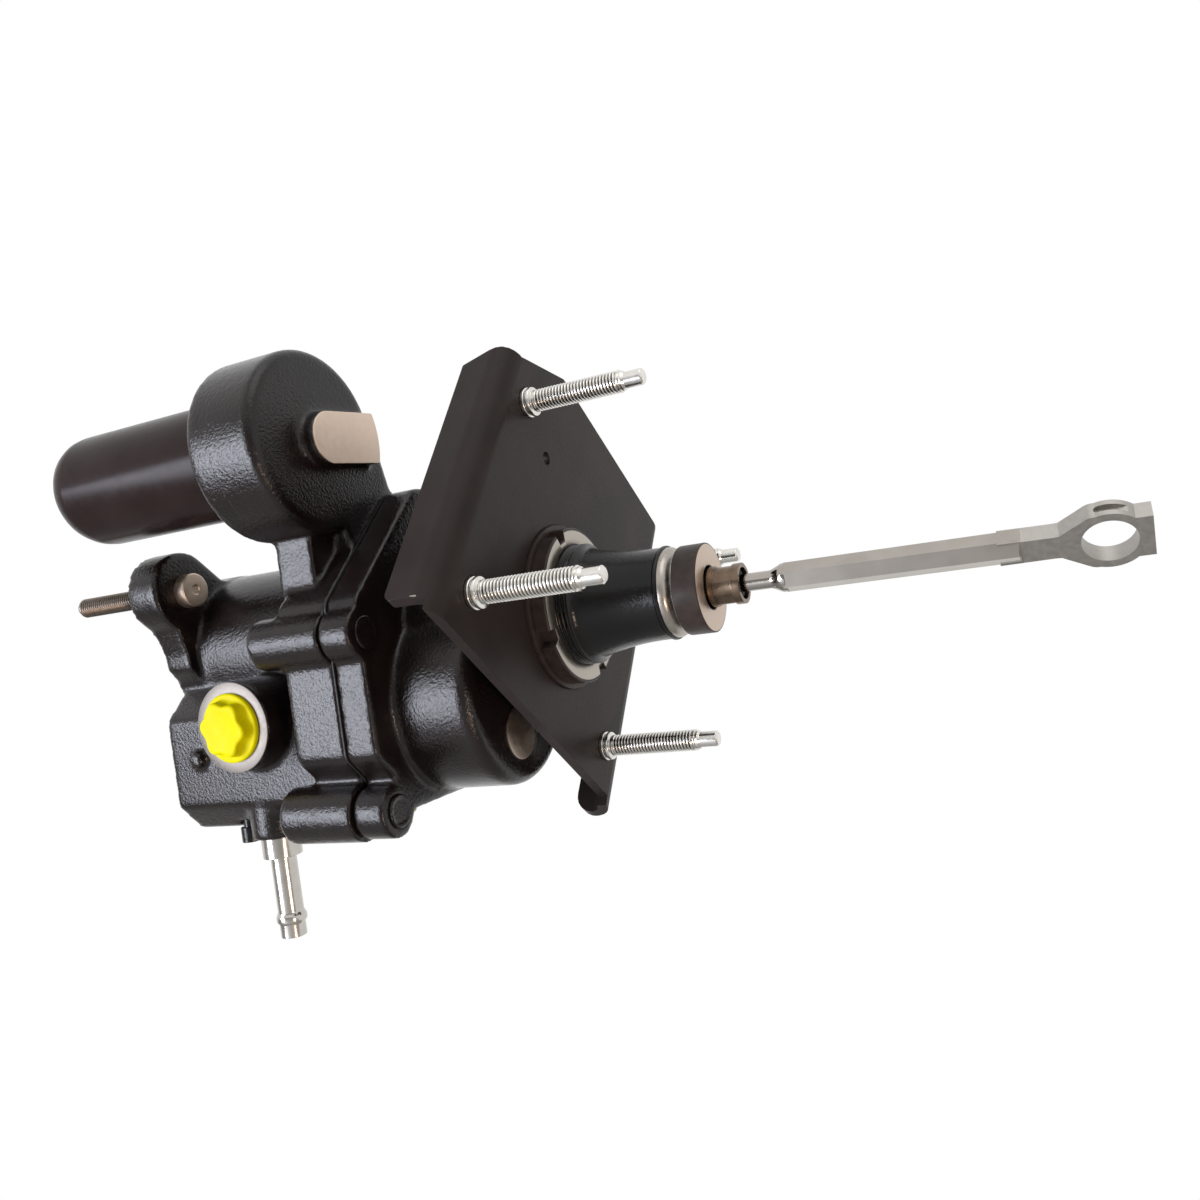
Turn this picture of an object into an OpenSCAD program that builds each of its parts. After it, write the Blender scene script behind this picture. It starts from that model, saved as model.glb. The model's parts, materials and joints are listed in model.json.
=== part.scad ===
// Hydraulic brake booster with its firewall bracket and pedal rod, in millimetres.
// X runs along the main bore towards the pedal and Z is up on the vehicle. The origin is
// where the bore's axis meets the rear face of the bracket. The castings are turned about
// the bore by one angle, and their own up is called height and their own side is called side.

/* [Castings] */
// Turn of the castings about the main bore, in degrees
clocking = 39; // [30:1:48]
// Place of the seam between housing and cover, ahead of the bracket's rear face
seam_ahead = 64; // [62:0.5:68]
// Length of the housing, from its seam to the brake cylinder's face
housing_len = 103; // [101:0.5:108]
// Depth of the housing's wide rear section
rear_depth = 22; // [20:0.5:24]
// Depth of the five bolt lobes
lobe_depth = 32; // [30:0.5:34]
// Half width of the wide rear section
rear_half_w = 57.5; // [56:0.5:60]
// Height of the wide rear section's top above the bore
rear_top = 52.5; // [51:0.5:56]
// Depth of the wide rear section's bottom below the bore
rear_bottom = 64; // [63:0.5:67]
// Radius of the housing's front body around the main bore
body_r = 31.5; // [29:0.5:32]
// Side of the flat on the valve block
valve_flat_side = 41; // [38:0.5:43]
// Depth of the valve block's bottom below the bore
valve_block_bottom = 70; // [68:0.5:73]

/* [Bores] */
// Diameter of the main bore
bore_d = 38.1; // [36:0.1:39]
// Distance of the valve bore below the main bore
valve_drop = 38; // [37.5:0.25:39]
// Diameter of the valve bore, outside the sleeve
sleeve_d = 22; // [20:0.5:22.5]
// Diameter of the brake cylinder's pilot bore
pilot_d = 42; // [40:0.5:44]
// Depth of the brake cylinder's pilot bore
pilot_depth = 14; // [12:0.5:16]
// Depth of the lever chamber in the housing
chamber_depth = 20; // [19:0.5:21]
// Half width of the lever chamber
chamber_half_w = 20; // [19:0.5:22]
// Radial gap of a running fit
run_gap = 0.05; // [0.02:0.01:0.09]
// Gap between pieces that are set into each other and don't move
seat_gap = 0.1; // [0.06:0.01:0.2]

/* [Cover] */
// Thickness of the cover's flange
cover_flange_t = 13.2; // [12:0.2:15]
// Thickness of the gasket in the seam
gasket_t = 0.8; // [0.6:0.1:1.2]
// Radius of the cover's body around the main bore
cover_r = 33; // [31:0.5:35]
// Radius of the lever dome
dome_r = 35.5; // [34:0.5:36.5]
// Depth of the lever dome's centre below the bore
dome_drop = 27; // [26:0.5:28]
// Distance of the dome's axis to the left of the bore
dome_side = 10; // [8:0.5:11]
// Distance of the dome's rear face ahead of the bracket
dome_ahead = 18; // [16:0.5:22]
// Radius of the rounding at the lever dome's rear edge
dome_edge_r = 5; // [4:0.5:8]
// Thickness of the wall behind the lever chamber, measured from the bracket's front
bulkhead_t = 18; // [16:0.5:20]
// Diameter of the snout's thread
snout_thread_d = 44; // [42:0.5:46]
// Diameter of the snout's waist
snout_d = 32.6; // [31:0.2:34]
// Diameter of the collar at the snout's end
collar_d = 31.5; // [30:0.2:33]
// Length of the snout behind the bracket
snout_len = 57.4; // [55:0.2:62]
// Diameter of the mouth in the snout
mouth_d = 15.2; // [15:0.1:17]
// Diameter of the five cover bolts
cover_bolt_d = 9; // [8.5:0.5:10]
// Radius of a bolt lobe on the cover
lobe_r = 9.5; // [9:0.25:11]

/* [Accumulator] */
// Side of the accumulator's axis
drum_side = 46.7; // [44:0.1:50]
// Height of the accumulator's axis
drum_height = 71; // [69:0.5:74]
// Diameter of the drum on the casting
drum_d = 66.2; // [62:0.2:70]
// Length of the drum
drum_len = 30; // [28:0.5:32]
// Diameter of the can
can_d = 43.4; // [40:0.2:46]
// Length of the can that stands out of the drum
can_len = 90; // [80:1:110]
// Wall of the can
can_wall = 2; // [1.5:0.1:3]
// Radius of the rounding at the can's end
can_round = 13; // [8:0.5:15]

/* [Bracket] */
// Thickness of the bracket's steel
plate_t = 4; // [3:0.2:5]
// Width of the bracket over its side flanges
plate_w = 137; // [134:0.5:144]
// Height of the bracket's top edge at its far end
plate_top = 87; // [80:0.5:94]
// Depth of the bracket's bottom edge
plate_bottom = 49; // [48:0.5:56]
// Side of the bracket's middle
plate_mid = -2.9; // [-4:0.1:0]
// Depth of the side flanges
flange_depth = 19; // [17.5:0.5:24]
// Outer radius of the bend
bend_r = 9; // [7:0.5:11]
// Stud spacing across the vehicle
stud_dy = 101.6; // [98:0.1:104]
// Stud spacing up the vehicle
stud_dz = 85.7; // [80:0.1:88]
// Height of the stud pattern's middle
stud_mid_z = 10.5; // [9:0.5:12]
// Diameter of the studs' thread
stud_d = 8; // [6:0.5:9]
// Reach of the studs behind the bracket
stud_reach = 46.5; // [36:0.5:60]
// Depth of the shallow seats pressed into the bracket under the washer and the stud collars
seat_depth = 0.3; // [0.2:0.1:0.6]
// Diameter of the ring nut
nut_d = 57.2; // [54:0.2:60]
// Thickness of the ring nut
nut_t = 5.6; // [5:0.2:8]
// Thickness of the washer under the ring nut
washer_t = 1.6; // [1:0.1:2.4]

/* [Brake cylinder flange] */
// Spacing of the two brake cylinder studs
mc_spacing = 85.7; // [82:0.1:90]
// Diameter of the two brake cylinder studs
mc_stud_d = 8; // [7:0.5:10]
// Reach of the two studs ahead of the face
mc_stud_reach = 46; // [36:1:60]
// Thickness of the brake cylinder flange
mc_flange_t = 15; // [13:0.5:17]
// Radius of an ear on the flange
mc_ear_r = 16; // [14:0.5:17]
// Radius of the round middle of the flange
mc_disc_r = 32; // [31.5:0.5:34]

/* [Ports] */
// Distance of the pump port from the brake cylinder's face
pump_port_back = 50; // [48:0.5:53]
// Depth of the pump port's axis below the bore
pump_port_drop = 27.5; // [26:0.5:29]
// Side of the pump port's machined face
pump_port_side = 54; // [52:0.5:57]
// Distance of the gear port from the brake cylinder's face
gear_port_back = 64; // [63:0.5:66]
// Side of the gear port's axis
gear_port_side = 10; // [8:0.5:12]
// Depth of the gear port's machined face below the bore
gear_port_drop = 75; // [73:0.5:78]
// Diameter of a port's thread
port_d = 16.4; // [15:0.2:18]
// Diameter of the pump port's machined face
spot_d = 34.4; // [32:0.2:36]
// Diameter of the yellow plugs' flange
plug_d = 26; // [24:0.5:29]
// Length of a plug that stands out of its port
plug_out = 6; // [5:0.5:12]
// Distance of the return fitting from the brake cylinder's face
return_back = 43; // [40:0.5:46]
// Side of the return fitting
return_side = 30; // [28:0.5:31]
// Diameter of the return fitting's tube
return_d = 10; // [8:0.2:11]
// Length of the return fitting below its boss
return_len = 40; // [34:1:50]

/* [Moving pieces] */
// Travel of the input rod
input_travel = 31.5; // [31.5:0.5:32]
// Length of the power piston's head
piston_len = 30; // [28:0.5:31]
// Diameter of the power piston's stem
stem_d = 22; // [21:0.5:23]
// Diameter of the output rod
output_d = 10; // [8:0.5:12]
// Reach of the output rod ahead of the brake cylinder's face
output_reach = 10; // [4:1:16]
// Diameter of the input rod
input_d = 13; // [12.6:0.1:13.4]
// Diameter of the valve spool
spool_d = 14; // [12:0.5:15]
// Thickness of each arm of the lever
lever_t = 3.5; // [3:0.1:4]
// Reach of the socket behind the snout
socket_reach = 12; // [12:0.5:16]
// Diameter of the socket's rings
socket_ring_d = 14.2; // [13.8:0.1:14.8]
// Diameter of the ball
ball_d = 9; // [8:0.2:9.6]
// Diameter of the pedal rod over its flats
rod_w = 8.8; // [8:0.2:10]
// Distance of the eye's middle behind the bracket's rear face
eye_x = 182.5; // [160:0.5:210]
// Diameter of the eye's hole
eye_d = 15.6; // [12:0.2:17]
// Width of the wall round the eye
eye_wall = 2.6; // [2.2:0.1:4]
// Thickness of the eye
eye_t = 6.5; // [5:0.1:8]
// Turn of the eye about the rod, in degrees
eye_turn = -10; // [-20:1:0]
// Diameter of the spring wire
wire_d = 2.6; // [2:0.1:2.8]

/* [Hidden] */

$fn = 72;
eps = 0.01;
cut = 1;

cast_black = [0.09, 0.09, 0.10];
plate_black = [0.22, 0.20, 0.20];
zinc = [0.80, 0.80, 0.78];
bronze = [0.72, 0.58, 0.42];
bare_metal = [0.72, 0.68, 0.64];
plug_yellow = [0.91, 0.89, 0.05];
dark_rubber = [0.05, 0.05, 0.05];

seam_x = -seam_ahead;
face_x = seam_x - housing_len;
rear_x = seam_x - rear_depth;
lobe_x = seam_x - lobe_depth;
cover_x = seam_x + gasket_t;
cover_flange_x = cover_x + cover_flange_t;
plate_x = -plate_t;
bulkhead_x = plate_x - bulkhead_t;
chamber_x = seam_x - chamber_depth;
pilot_x = face_x + pilot_depth;
bore_r = bore_d / 2;
sleeve_r = sleeve_d / 2;
flange_back_x = face_x + mc_flange_t;
mc_shank_r = mc_stud_d / 2 + 0.4;

// Stations of the valve: the sleeve, the space for its spring, and the plug in front
sleeve_x0 = face_x + 32;
sleeve_x1 = chamber_x;
plug_len = 18;

// The lever turns about a pin in the spool's tail, and its arms reach up to a pin in the stem
piston_travel = input_travel - 1.5;
spool_travel = 2.5;
lever_pivot_x = seam_x + 3;
stem_pin_x = lever_pivot_x + piston_travel / 2;
lever_rest = atan2(stem_pin_x - lever_pivot_x, valve_drop);
pin_r = 2.5;
arm_side = stem_d / 2 + 1;

piston_x1 = stem_pin_x - 32;
piston_x0 = piston_x1 - piston_len;
stem_end_x = bulkhead_x - 0.3;
stem_bore_x = stem_pin_x + 6;
input_end_x = stem_bore_x + 2;
retainer_t = 2;

// Places of the five cover bolts, as side and height
top_bolt_height = rear_top - lobe_r;
low_bolt_height = -rear_bottom + 1.7;
bolt_places = [[-rear_half_w + 3, 1], [-rear_half_w + 8.2, low_bolt_height],
    [rear_half_w - 17.5, low_bolt_height + 12.3], [rear_half_w - 3, 1], [0, top_bolt_height]];
low_lobe_r = lobe_r + 1;

drum_r = drum_d / 2;
drum_x1 = seam_x - 1;
drum_x0 = drum_x1 - drum_len;
can_r = can_d / 2;
can_seat_x = drum_x1 - 7;
can_end_x = drum_x0 - can_len;

pump_x = face_x + pump_port_back;
gear_x = face_x + gear_port_back;
return_x = face_x + return_back;
port_r = port_d / 2;
port_depth = 14;
return_boss_drop = valve_block_bottom + 4;
drain_x = return_x - 15;

stud_body_r = stud_d / 2 + 1;
stud_collar_r = stud_d / 2 + 1.5;
washer_r = nut_d / 2 + 1.8;
nut_x = washer_t - seat_depth;

snout_r = snout_d / 2;
thread_len = nut_x + nut_t + 4;
band_x = snout_len - 14.2;
collar_x = snout_len - 9;
band_r = snout_r - 0.3;
groove_r = collar_d / 2 - 2.2;
guide_r = input_d / 2 + run_gap;
mouth_x = snout_len - 35;
socket_end_x = snout_len + socket_reach;
ball_x = snout_len + 3.4;

// A point list with rounded corners. Each point is side, height and corner radius
function unit(v) = v / norm(v);
function corner(p, a, b) =
    let (q = [p[0], p[1]], u = unit([a[0], a[1]] - q), v = unit([b[0], b[1]] - q),
        half = acos(max(-1, min(1, u * v))) / 2, r = p[2],
        c = q + unit(u + v) * r / sin(half),
        s = q + u * r / tan(half) - c, e = q + v * r / tan(half) - c,
        a0 = atan2(s[1], s[0]), turn = atan2(s[0] * e[1] - s[1] * e[0], s * e),
        n = ceil(abs(turn) / 15))
    [for (i = [0:n]) c + r * [cos(a0 + turn * i / n), sin(a0 + turn * i / n)]];
function rounded(points) = let (n = len(points))
    [for (i = [0:n - 1]) each points[i][2] == 0 ? [[points[i][0], points[i][1]]]
        : corner(points[i], points[(i + n - 1) % n], points[(i + 1) % n])];

module clocked() rotate([clocking, 0, 0]) children();
module slab(x0, x1) translate([x0, 0, 0]) rotate([90, 0, 90]) linear_extrude(x1 - x0) children();
module bar(x0, x1, r, side = 0, height = 0)
    translate([x0, side, height]) rotate([0, 90, 0]) cylinder(h = x1 - x0, r = r);
module tube(x0, x1, r_out, r_in, side = 0, height = 0)
    difference() {
        bar(x0, x1, r_out, side, height);
        bar(x0 - cut, x1 + cut, r_in, side, height);
    }
// A turned piece along X. The outline is a list of radius and X
module turned(outline, side = 0, height = 0)
    translate([0, side, height]) rotate([0, 90, 0]) rotate_extrude() polygon(outline);
// A round bar that points down from the castings, between two depths
module drop_bar(x, side, d0, d1, r)
    translate([x, side, -d1]) cylinder(h = d1 - d0, r = r);
// A round bar that points to the castings' near side, between two distances from the middle
module side_bar(x, height, s0, s1, r)
    translate([x, -s0, height]) rotate([90, 0, 0]) cylinder(h = s1 - s0, r = r);

// A coil spring along X, swept as rings of a few sides
module coil(x0, x1, r, wire, turns) {
    steps = turns * 14;
    sides = 6;
    points = [for (i = [0:steps], k = [0:sides - 1])
        let (a = 360 * turns * i / steps, b = 360 * k / sides, rr = r + wire / 2 * cos(b))
        [x0 + wire / 2 + (x1 - x0 - wire) * i / steps + wire / 2 * sin(b), rr * cos(a), rr * sin(a)]];
    faces = [[for (k = [0:sides - 1]) k],
        for (i = [0:steps - 1], k = [0:sides - 1])
            let (k2 = (k + 1) % sides)
            [i * sides + k, (i + 1) * sides + k, (i + 1) * sides + k2, i * sides + k2],
        [for (k = [sides - 1:-1:0]) steps * sides + k]];
    polyhedron(points, faces);
}

// Outline of the seam, without the lobes
module rear_outline()
    polygon(rounded([[-14, rear_top, 8], [-rear_half_w, 12.5, 6], [-rear_half_w, -42, 4],
        [-rear_half_w + 8, -50, 4], [-rear_half_w + 16, -rear_bottom, 3], [22, -rear_bottom, 3],
        [34, -rear_bottom + 6, 4], [rear_half_w - 7.5, -46, 4], [rear_half_w, -36, 4],
        [rear_half_w, 12.5, 6], [14, rear_top, 8]]));

// The five bolt lobes round the seam. The two low ones may be fuller
module lobes(low_r)
    for (i = [0:4])
        translate(bolt_places[i]) circle(i == 1 || i == 2 ? low_r : lobe_r);

// Outline of the brake cylinder flange, with an ear at each side of the vehicle
module mc_outline() {
    circle(mc_disc_r);
    for (s = [-1, 1]) translate([s * mc_spacing / 2, 0]) circle(mc_ear_r);
    polygon(rounded([[-mc_spacing / 2, -mc_ear_r, 0], [mc_spacing / 2, -mc_ear_r, 0],
        [mc_spacing / 2, mc_ear_r, 0], [-mc_spacing / 2, mc_ear_r, 0]]));
}

// A lug on the flange's near side, between its ear and the valve block
module flange_lug()
    slab(face_x + 0.8, flange_back_x - 0.8)
        polygon(rounded([[-41.5, 15, 0], [-mc_disc_r - 4.5, 1.7, 4], [-mc_disc_r - 4, -4.5, 2],
            [-mc_disc_r + 4, -12.3, 0], [-24, 0, 0], [-33, 22, 0]]));

module lever_chamber(x0, x1)
    slab(x0, x1) translate([-chamber_half_w, -valve_drop - 14])
        square([2 * chamber_half_w, valve_drop + 14 + bore_r + 1.5]);

module drum_body()
    turned([[0, drum_x0], [drum_r - 1.5, drum_x0], [drum_r, drum_x0 + 1.5], [drum_r, drum_x1 - 2.2],
        [drum_r - 2.2, drum_x1], [0, drum_x1]], -drum_side, drum_height);

// The neck joins the drum to the rear section: a deep rib in front and a lower one behind
module neck() {
    slab(drum_x0 + 6, drum_x0 + 23)
        polygon([[-50, drum_height - 20], [-50, 15], [-30, 6], [0, 30], [-12, drum_height]]);
    slab(drum_x0 + 6, drum_x1)
        polygon([[-37, drum_height - 20], [-37, 12], [0, 30], [-12, drum_height]]);
}

module drum_boss()
    intersection() {
        slab(drum_x1 - eps, drum_x1 + 6)
            translate([-drum_side, drum_height]) rotate(3.5) {
                circle(9.5);
                translate([0, -9.5]) square([drum_r, 19]);
            }
        bar(drum_x1 - cut, drum_x1 + 7, drum_r - 5.5, -drum_side, drum_height);
    }

module valve_block() {
    slab(face_x + 2, rear_x + eps)
        polygon(rounded([[-valve_flat_side, -24, 6], [-valve_flat_side, -valve_block_bottom + 11, 3],
            [-valve_flat_side + 10, -valve_block_bottom, 4], [26, -valve_block_bottom, 12], [26, -10, 6],
            [-20, -8, 6], [-valve_flat_side + 13, -12, 3]]));
    drop_bar(return_x, -return_side, valve_block_bottom - 10, return_boss_drop, 10.5);
    side_bar(face_x + 18.5, -40, valve_flat_side - 2, valve_flat_side + 4, 3.5);
}

module housing_bores() {
    bar(pilot_x - eps, chamber_x + cut, bore_r);
    bar(face_x - cut, pilot_x, pilot_d / 2);
    lever_chamber(chamber_x, seam_x + cut);
    bar(face_x - cut, chamber_x + cut, sleeve_r, 0, -valve_drop);
    bar(drum_x0 - cut, can_seat_x, can_r + seat_gap, -drum_side, drum_height);
    bar(can_seat_x - cut, drum_x1 + 2, 4.5, -drum_side, drum_height);
    side_bar(pump_x, -pump_port_drop, pump_port_side - port_depth, pump_port_side + cut, port_r);
    side_bar(pump_x, -pump_port_drop, -eps, pump_port_side, 3);
    drop_bar(gear_x, gear_port_side, gear_port_drop - port_depth, gear_port_drop + cut, port_r);
    drop_bar(gear_x, gear_port_side, valve_drop, gear_port_drop, 3);
    drop_bar(return_x, -return_side, return_boss_drop - 16, return_boss_drop + cut,
        return_d / 2 + 1 + seat_gap);
    drop_bar(drain_x, -return_side, valve_block_bottom - 8, valve_block_bottom + cut, 2.5 + seat_gap);
    translate([relief_x, 0, bore_r - cut]) cylinder(h = 16.5 + cut, r = 3 + run_gap);
    for (i = [0:4])
        bar(lobe_x + 8, seam_x + cut, cover_bolt_d / 2 + seat_gap, bolt_places[i][0], bolt_places[i][1]);
}
relief_x = chamber_x + 3;

module housing() color(cast_black)
    difference() {
        union() {
            clocked() {
                slab(rear_x, seam_x) rear_outline();
                slab(lobe_x, seam_x) lobes(low_lobe_r);
                flange_lug();
                bar(face_x + 2, rear_x + cut, body_r);
                valve_block();
                side_bar(pump_x, -pump_port_drop, 10, pump_port_side, spot_d / 2);
                drop_bar(gear_x, gear_port_side, 40, gear_port_drop, 15);
                drum_body();
                drum_boss();
                neck();
            }
            slab(face_x, flange_back_x) mc_outline();
        }
        clocked() housing_bores();
        for (s = [-1, 1])
            bar(face_x - cut, flange_back_x + cut, mc_shank_r + seat_gap, s * mc_spacing / 2, 0);
    }

module gasket() color(dark_rubber)
    clocked() difference() {
        slab(seam_x, cover_x) rear_outline();
        lever_chamber(seam_x - cut, cover_x + cut);
        for (i = [0:4])
            bar(seam_x - cut, cover_x + cut, cover_bolt_d / 2 + 0.5,
                bolt_places[i][0], bolt_places[i][1]);
    }

module cover_solid() {
    slab(cover_x, cover_flange_x) {
        rear_outline();
        lobes(lobe_r);
    }
    turned(concat([[0, cover_x], [dome_r, cover_x]],
        [for (a = [0:15:90]) [dome_r - dome_edge_r * (1 - cos(a)), -dome_ahead - dome_edge_r * (1 - sin(a))]],
        [[0, -dome_ahead]]), -dome_side, -dome_drop);
    turned([[0, cover_x], [dome_r, cover_x], [dome_r, -dome_ahead - 15], [dome_r - 4, -dome_ahead - 11],
        [0, -dome_ahead - 11]], 0, -dome_drop);
    slab(cover_x, -dome_ahead - 12) translate([-dome_r + 2, -dome_drop]) square([2 * dome_r - 4, dome_drop]);
    bar(-dome_ahead - cut, -dome_ahead + 0.5, 10, -dome_side - 3.6, -dome_drop - 16);
    turned([[0, cover_x], [cover_r, cover_x], [cover_r, plate_x - 4], [cover_r - 3, plate_x],
        [0, plate_x]]);
    turned([[0, plate_x - cut], [snout_thread_d / 2, plate_x - cut], [snout_thread_d / 2, thread_len],
        [snout_thread_d / 2 - 1.7, thread_len + 5], [snout_r + 3, thread_len + 10],
        [snout_r + 1.2, thread_len + 14], [snout_r + 0.3, thread_len + 19], [snout_r, thread_len + 23],
        [snout_r, band_x], [groove_r - 1.4, band_x], [groove_r - 1.4, collar_x],
        [collar_d / 2 - 0.6, collar_x], [collar_d / 2, collar_x + 0.6], [collar_d / 2, snout_len - 0.5],
        [collar_d / 2 - 0.5, snout_len], [0, snout_len]]);
}

module cover() color(cast_black)
    clocked() difference() {
        cover_solid();
        lever_chamber(cover_x - cut, -dome_ahead - 13.5);
        bar(cover_x - cut, bulkhead_x, chamber_half_w + 1);
        bar(bulkhead_x - cut, snout_len + cut, guide_r);
        bar(bulkhead_x - cut, bulkhead_x + 5, input_d / 2 + 3);
        bar(mouth_x, snout_len + cut, mouth_d / 2);
        for (i = [0:4])
            bar(cover_x - cut, cover_flange_x + cut, cover_bolt_d / 2 + seat_gap,
                bolt_places[i][0], bolt_places[i][1]);
    }

// Each bolt has a low head on the cover's lobe
module cover_bolts() color(cast_black)
    clocked() for (p = bolt_places) {
        bar(lobe_x + 10, cover_flange_x, cover_bolt_d / 2, p[0], p[1]);
        bar(cover_flange_x, cover_flange_x + 0.6, cover_bolt_d / 2 + 1.4, p[0], p[1]);
    }

// Side profile of a flange seen along Y, as X and Z. Its top falls towards the free edge
module flange_side(depth, low, high, low_round)
    polygon(rounded([[cut, low, 0], [cut, high, 0], [-5, high, 12], [-depth, high - 7, 1],
        [-depth, low, low_round]]));

module plate_outline()
    let (w = plate_w / 2, m = plate_mid)
    polygon(rounded([[m - w, -plate_bottom, 0], [m + w, -plate_bottom, 0], [m + w, plate_top - 2, 2],
        [m + w - 3, plate_top, 2], [m - w + 35.5, plate_top - 2.5, 3], [m - w, plate_top - 24.5, 2]]));

module bracket() color(plate_black)
    difference() {
        intersection() {
            translate([0, plate_mid, -120]) linear_extrude(240)
                difference() {
                    polygon(rounded([[0, -plate_w / 2, bend_r], [0, plate_w / 2, bend_r],
                        [-flange_depth, plate_w / 2, 0], [-flange_depth, -plate_w / 2, 0]]));
                    polygon(rounded([[-plate_t, -plate_w / 2 + plate_t, bend_r - plate_t],
                        [-plate_t, plate_w / 2 - plate_t, bend_r - plate_t],
                        [-flange_depth - cut, plate_w / 2 - plate_t, 0],
                        [-flange_depth - cut, -plate_w / 2 + plate_t, 0]]));
                }
            union() {
                slab(-plate_t, cut) plate_outline();
                translate([0, plate_mid - plate_w / 2 + bend_r, 0]) rotate([90, 0, 0])
                    linear_extrude(bend_r + cut)
                    flange_side(flange_depth, -plate_bottom + 4, plate_top - 19.5, 3);
                translate([0, plate_mid + plate_w / 2 + cut, 0]) rotate([90, 0, 0])
                    linear_extrude(bend_r + cut)
                    flange_side(flange_depth - 3, -plate_bottom - 4, plate_top - 10, 8);
            }
        }
        bar(plate_x - cut, cut, snout_thread_d / 2 + 0.4);
        translate([0, -34, 44]) bar(plate_x - cut, cut, 2.5);
        bar(-seat_depth, cut, washer_r + 0.4);
        firewall_places() {
            bar(plate_x - cut, cut, stud_body_r + seat_gap);
            bar(-seat_depth, cut, stud_collar_r + 0.4);
        }
    }

module firewall_places()
    for (sy = [-1, 1], sz = [-1, 1])
        translate([0, plate_mid + sy * stud_dy / 2, stud_mid_z + sz * stud_dz / 2]) children();

// A pressed stud: a head in front of the plate, a collar behind it, the thread and a dog point
module firewall_studs() color(zinc)
    firewall_places() {
        bar(plate_x - 2.5, plate_x, stud_body_r + 2);
        bar(plate_x, -seat_depth, stud_body_r);
        bar(-seat_depth, 1.4, stud_collar_r);
        bar(1.4, 2, stud_collar_r - 0.6);
        bar(2, 3.3, stud_collar_r - 0.1);
        bar(3.3, stud_reach - 7.5, stud_d / 2);
        turned([[0, stud_reach - 7.5], [stud_d / 2, stud_reach - 7.5], [stud_d / 2 - 1.1, stud_reach - 6.4],
            [stud_d / 2 - 1.1, stud_reach - 0.6], [stud_d / 2 - 1.7, stud_reach], [0, stud_reach]]);
    }

module lock_washer() color(plate_black) tube(-seat_depth, nut_x, washer_r, snout_thread_d / 2 + 0.3);

module ring_nut() color(bare_metal)
    difference() {
        tube(nut_x, nut_x + nut_t, nut_d / 2, snout_thread_d / 2 + run_gap);
        for (a = [60:90:330])
            rotate([a, 0, 0]) translate([nut_x - cut, nut_d / 2 - 3.5, -3]) cube([nut_t + 2 * cut, 6, 6]);
    }

// A flat bolt head behind each ear, a thicker shank in the flange, and the stud ahead of it
module flange_bolts() color(bare_metal)
    for (s = [-1, 1]) translate([0, s * mc_spacing / 2, 0]) {
        bar(face_x - mc_stud_reach, face_x + cut, mc_stud_d / 2);
        bar(face_x, flange_back_x, mc_shank_r);
        turned([[0, flange_back_x], [mc_stud_d / 2 + 2.8, flange_back_x],
            [mc_stud_d / 2 + 2.8, flange_back_x + 4.5], [mc_stud_d / 2 + 2.3, flange_back_x + 5],
            [0, flange_back_x + 5]]);
    }

module accumulator_can() color(plate_black)
    clocked() turned(concat([[can_r - can_wall, can_seat_x], [can_r, can_seat_x],
            [can_r, can_end_x + can_round]],
        [for (a = [15:15:75]) [can_r - can_round * (1 - cos(a)), can_end_x + can_round * (1 - sin(a))]],
        [[can_r - can_round, can_end_x], [0, can_end_x], [0, can_end_x + can_wall],
            [can_r - can_round, can_end_x + can_wall], [can_r - can_wall, can_end_x + can_round]]),
        -drum_side, drum_height);

module ring(x, r, wire, side = 0, height = 0)
    translate([x, side, height]) rotate([0, 90, 0]) rotate_extrude()
        translate([r, 0]) circle(wire, $fn = 24);

module can_seal() color(dark_rubber)
    clocked() ring(drum_x0 - 1.3, can_r + 1.35, 1.2, -drum_side, drum_height);

// A yellow plug along its own Z: a stub in the port, a flange and a rounded six-lobed grip
module port_plug() {
    translate([0, 0, -9]) cylinder(h = 9 + eps, r = port_r - run_gap);
    cylinder(h = 1.8, r = plug_d / 2);
    linear_extrude(plug_out) circle(plug_d / 2 - 4.5);
    for (a = [0:60:300])
        rotate(a) translate([plug_d / 2 - 5.6, 0]) cylinder(h = plug_out - 0.8, r = 3.4);
}

module pump_port_plug() color(plug_yellow)
    clocked() translate([pump_x, -pump_port_side, -pump_port_drop]) rotate([90, 0, 0]) port_plug();

module gear_port_plug() color(plug_yellow)
    clocked() translate([gear_x, gear_port_side, -gear_port_drop]) rotate([180, 0, 0]) port_plug();

// The two ports' small rubber rings and brass seats, at the bottom of each port
module at_port_bottoms() {
    translate([pump_x, -pump_port_side + port_depth, -pump_port_drop]) rotate([90, 0, 0]) children();
    translate([gear_x, gear_port_side, -gear_port_drop + port_depth]) rotate([180, 0, 0]) children();
}
module port_rings() color(dark_rubber)
    clocked() at_port_bottoms() translate([0, 0, 0.95]) rotate_extrude()
        translate([5.6, 0]) circle(0.95, $fn = 20);
module port_seats() color(bronze)
    clocked() at_port_bottoms() difference() {
        cylinder(h = 3.5, r1 = 4.4, r2 = 3.4);
        translate([0, 0, -cut]) cylinder(h = 6, r = 1.6);
    }

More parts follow.
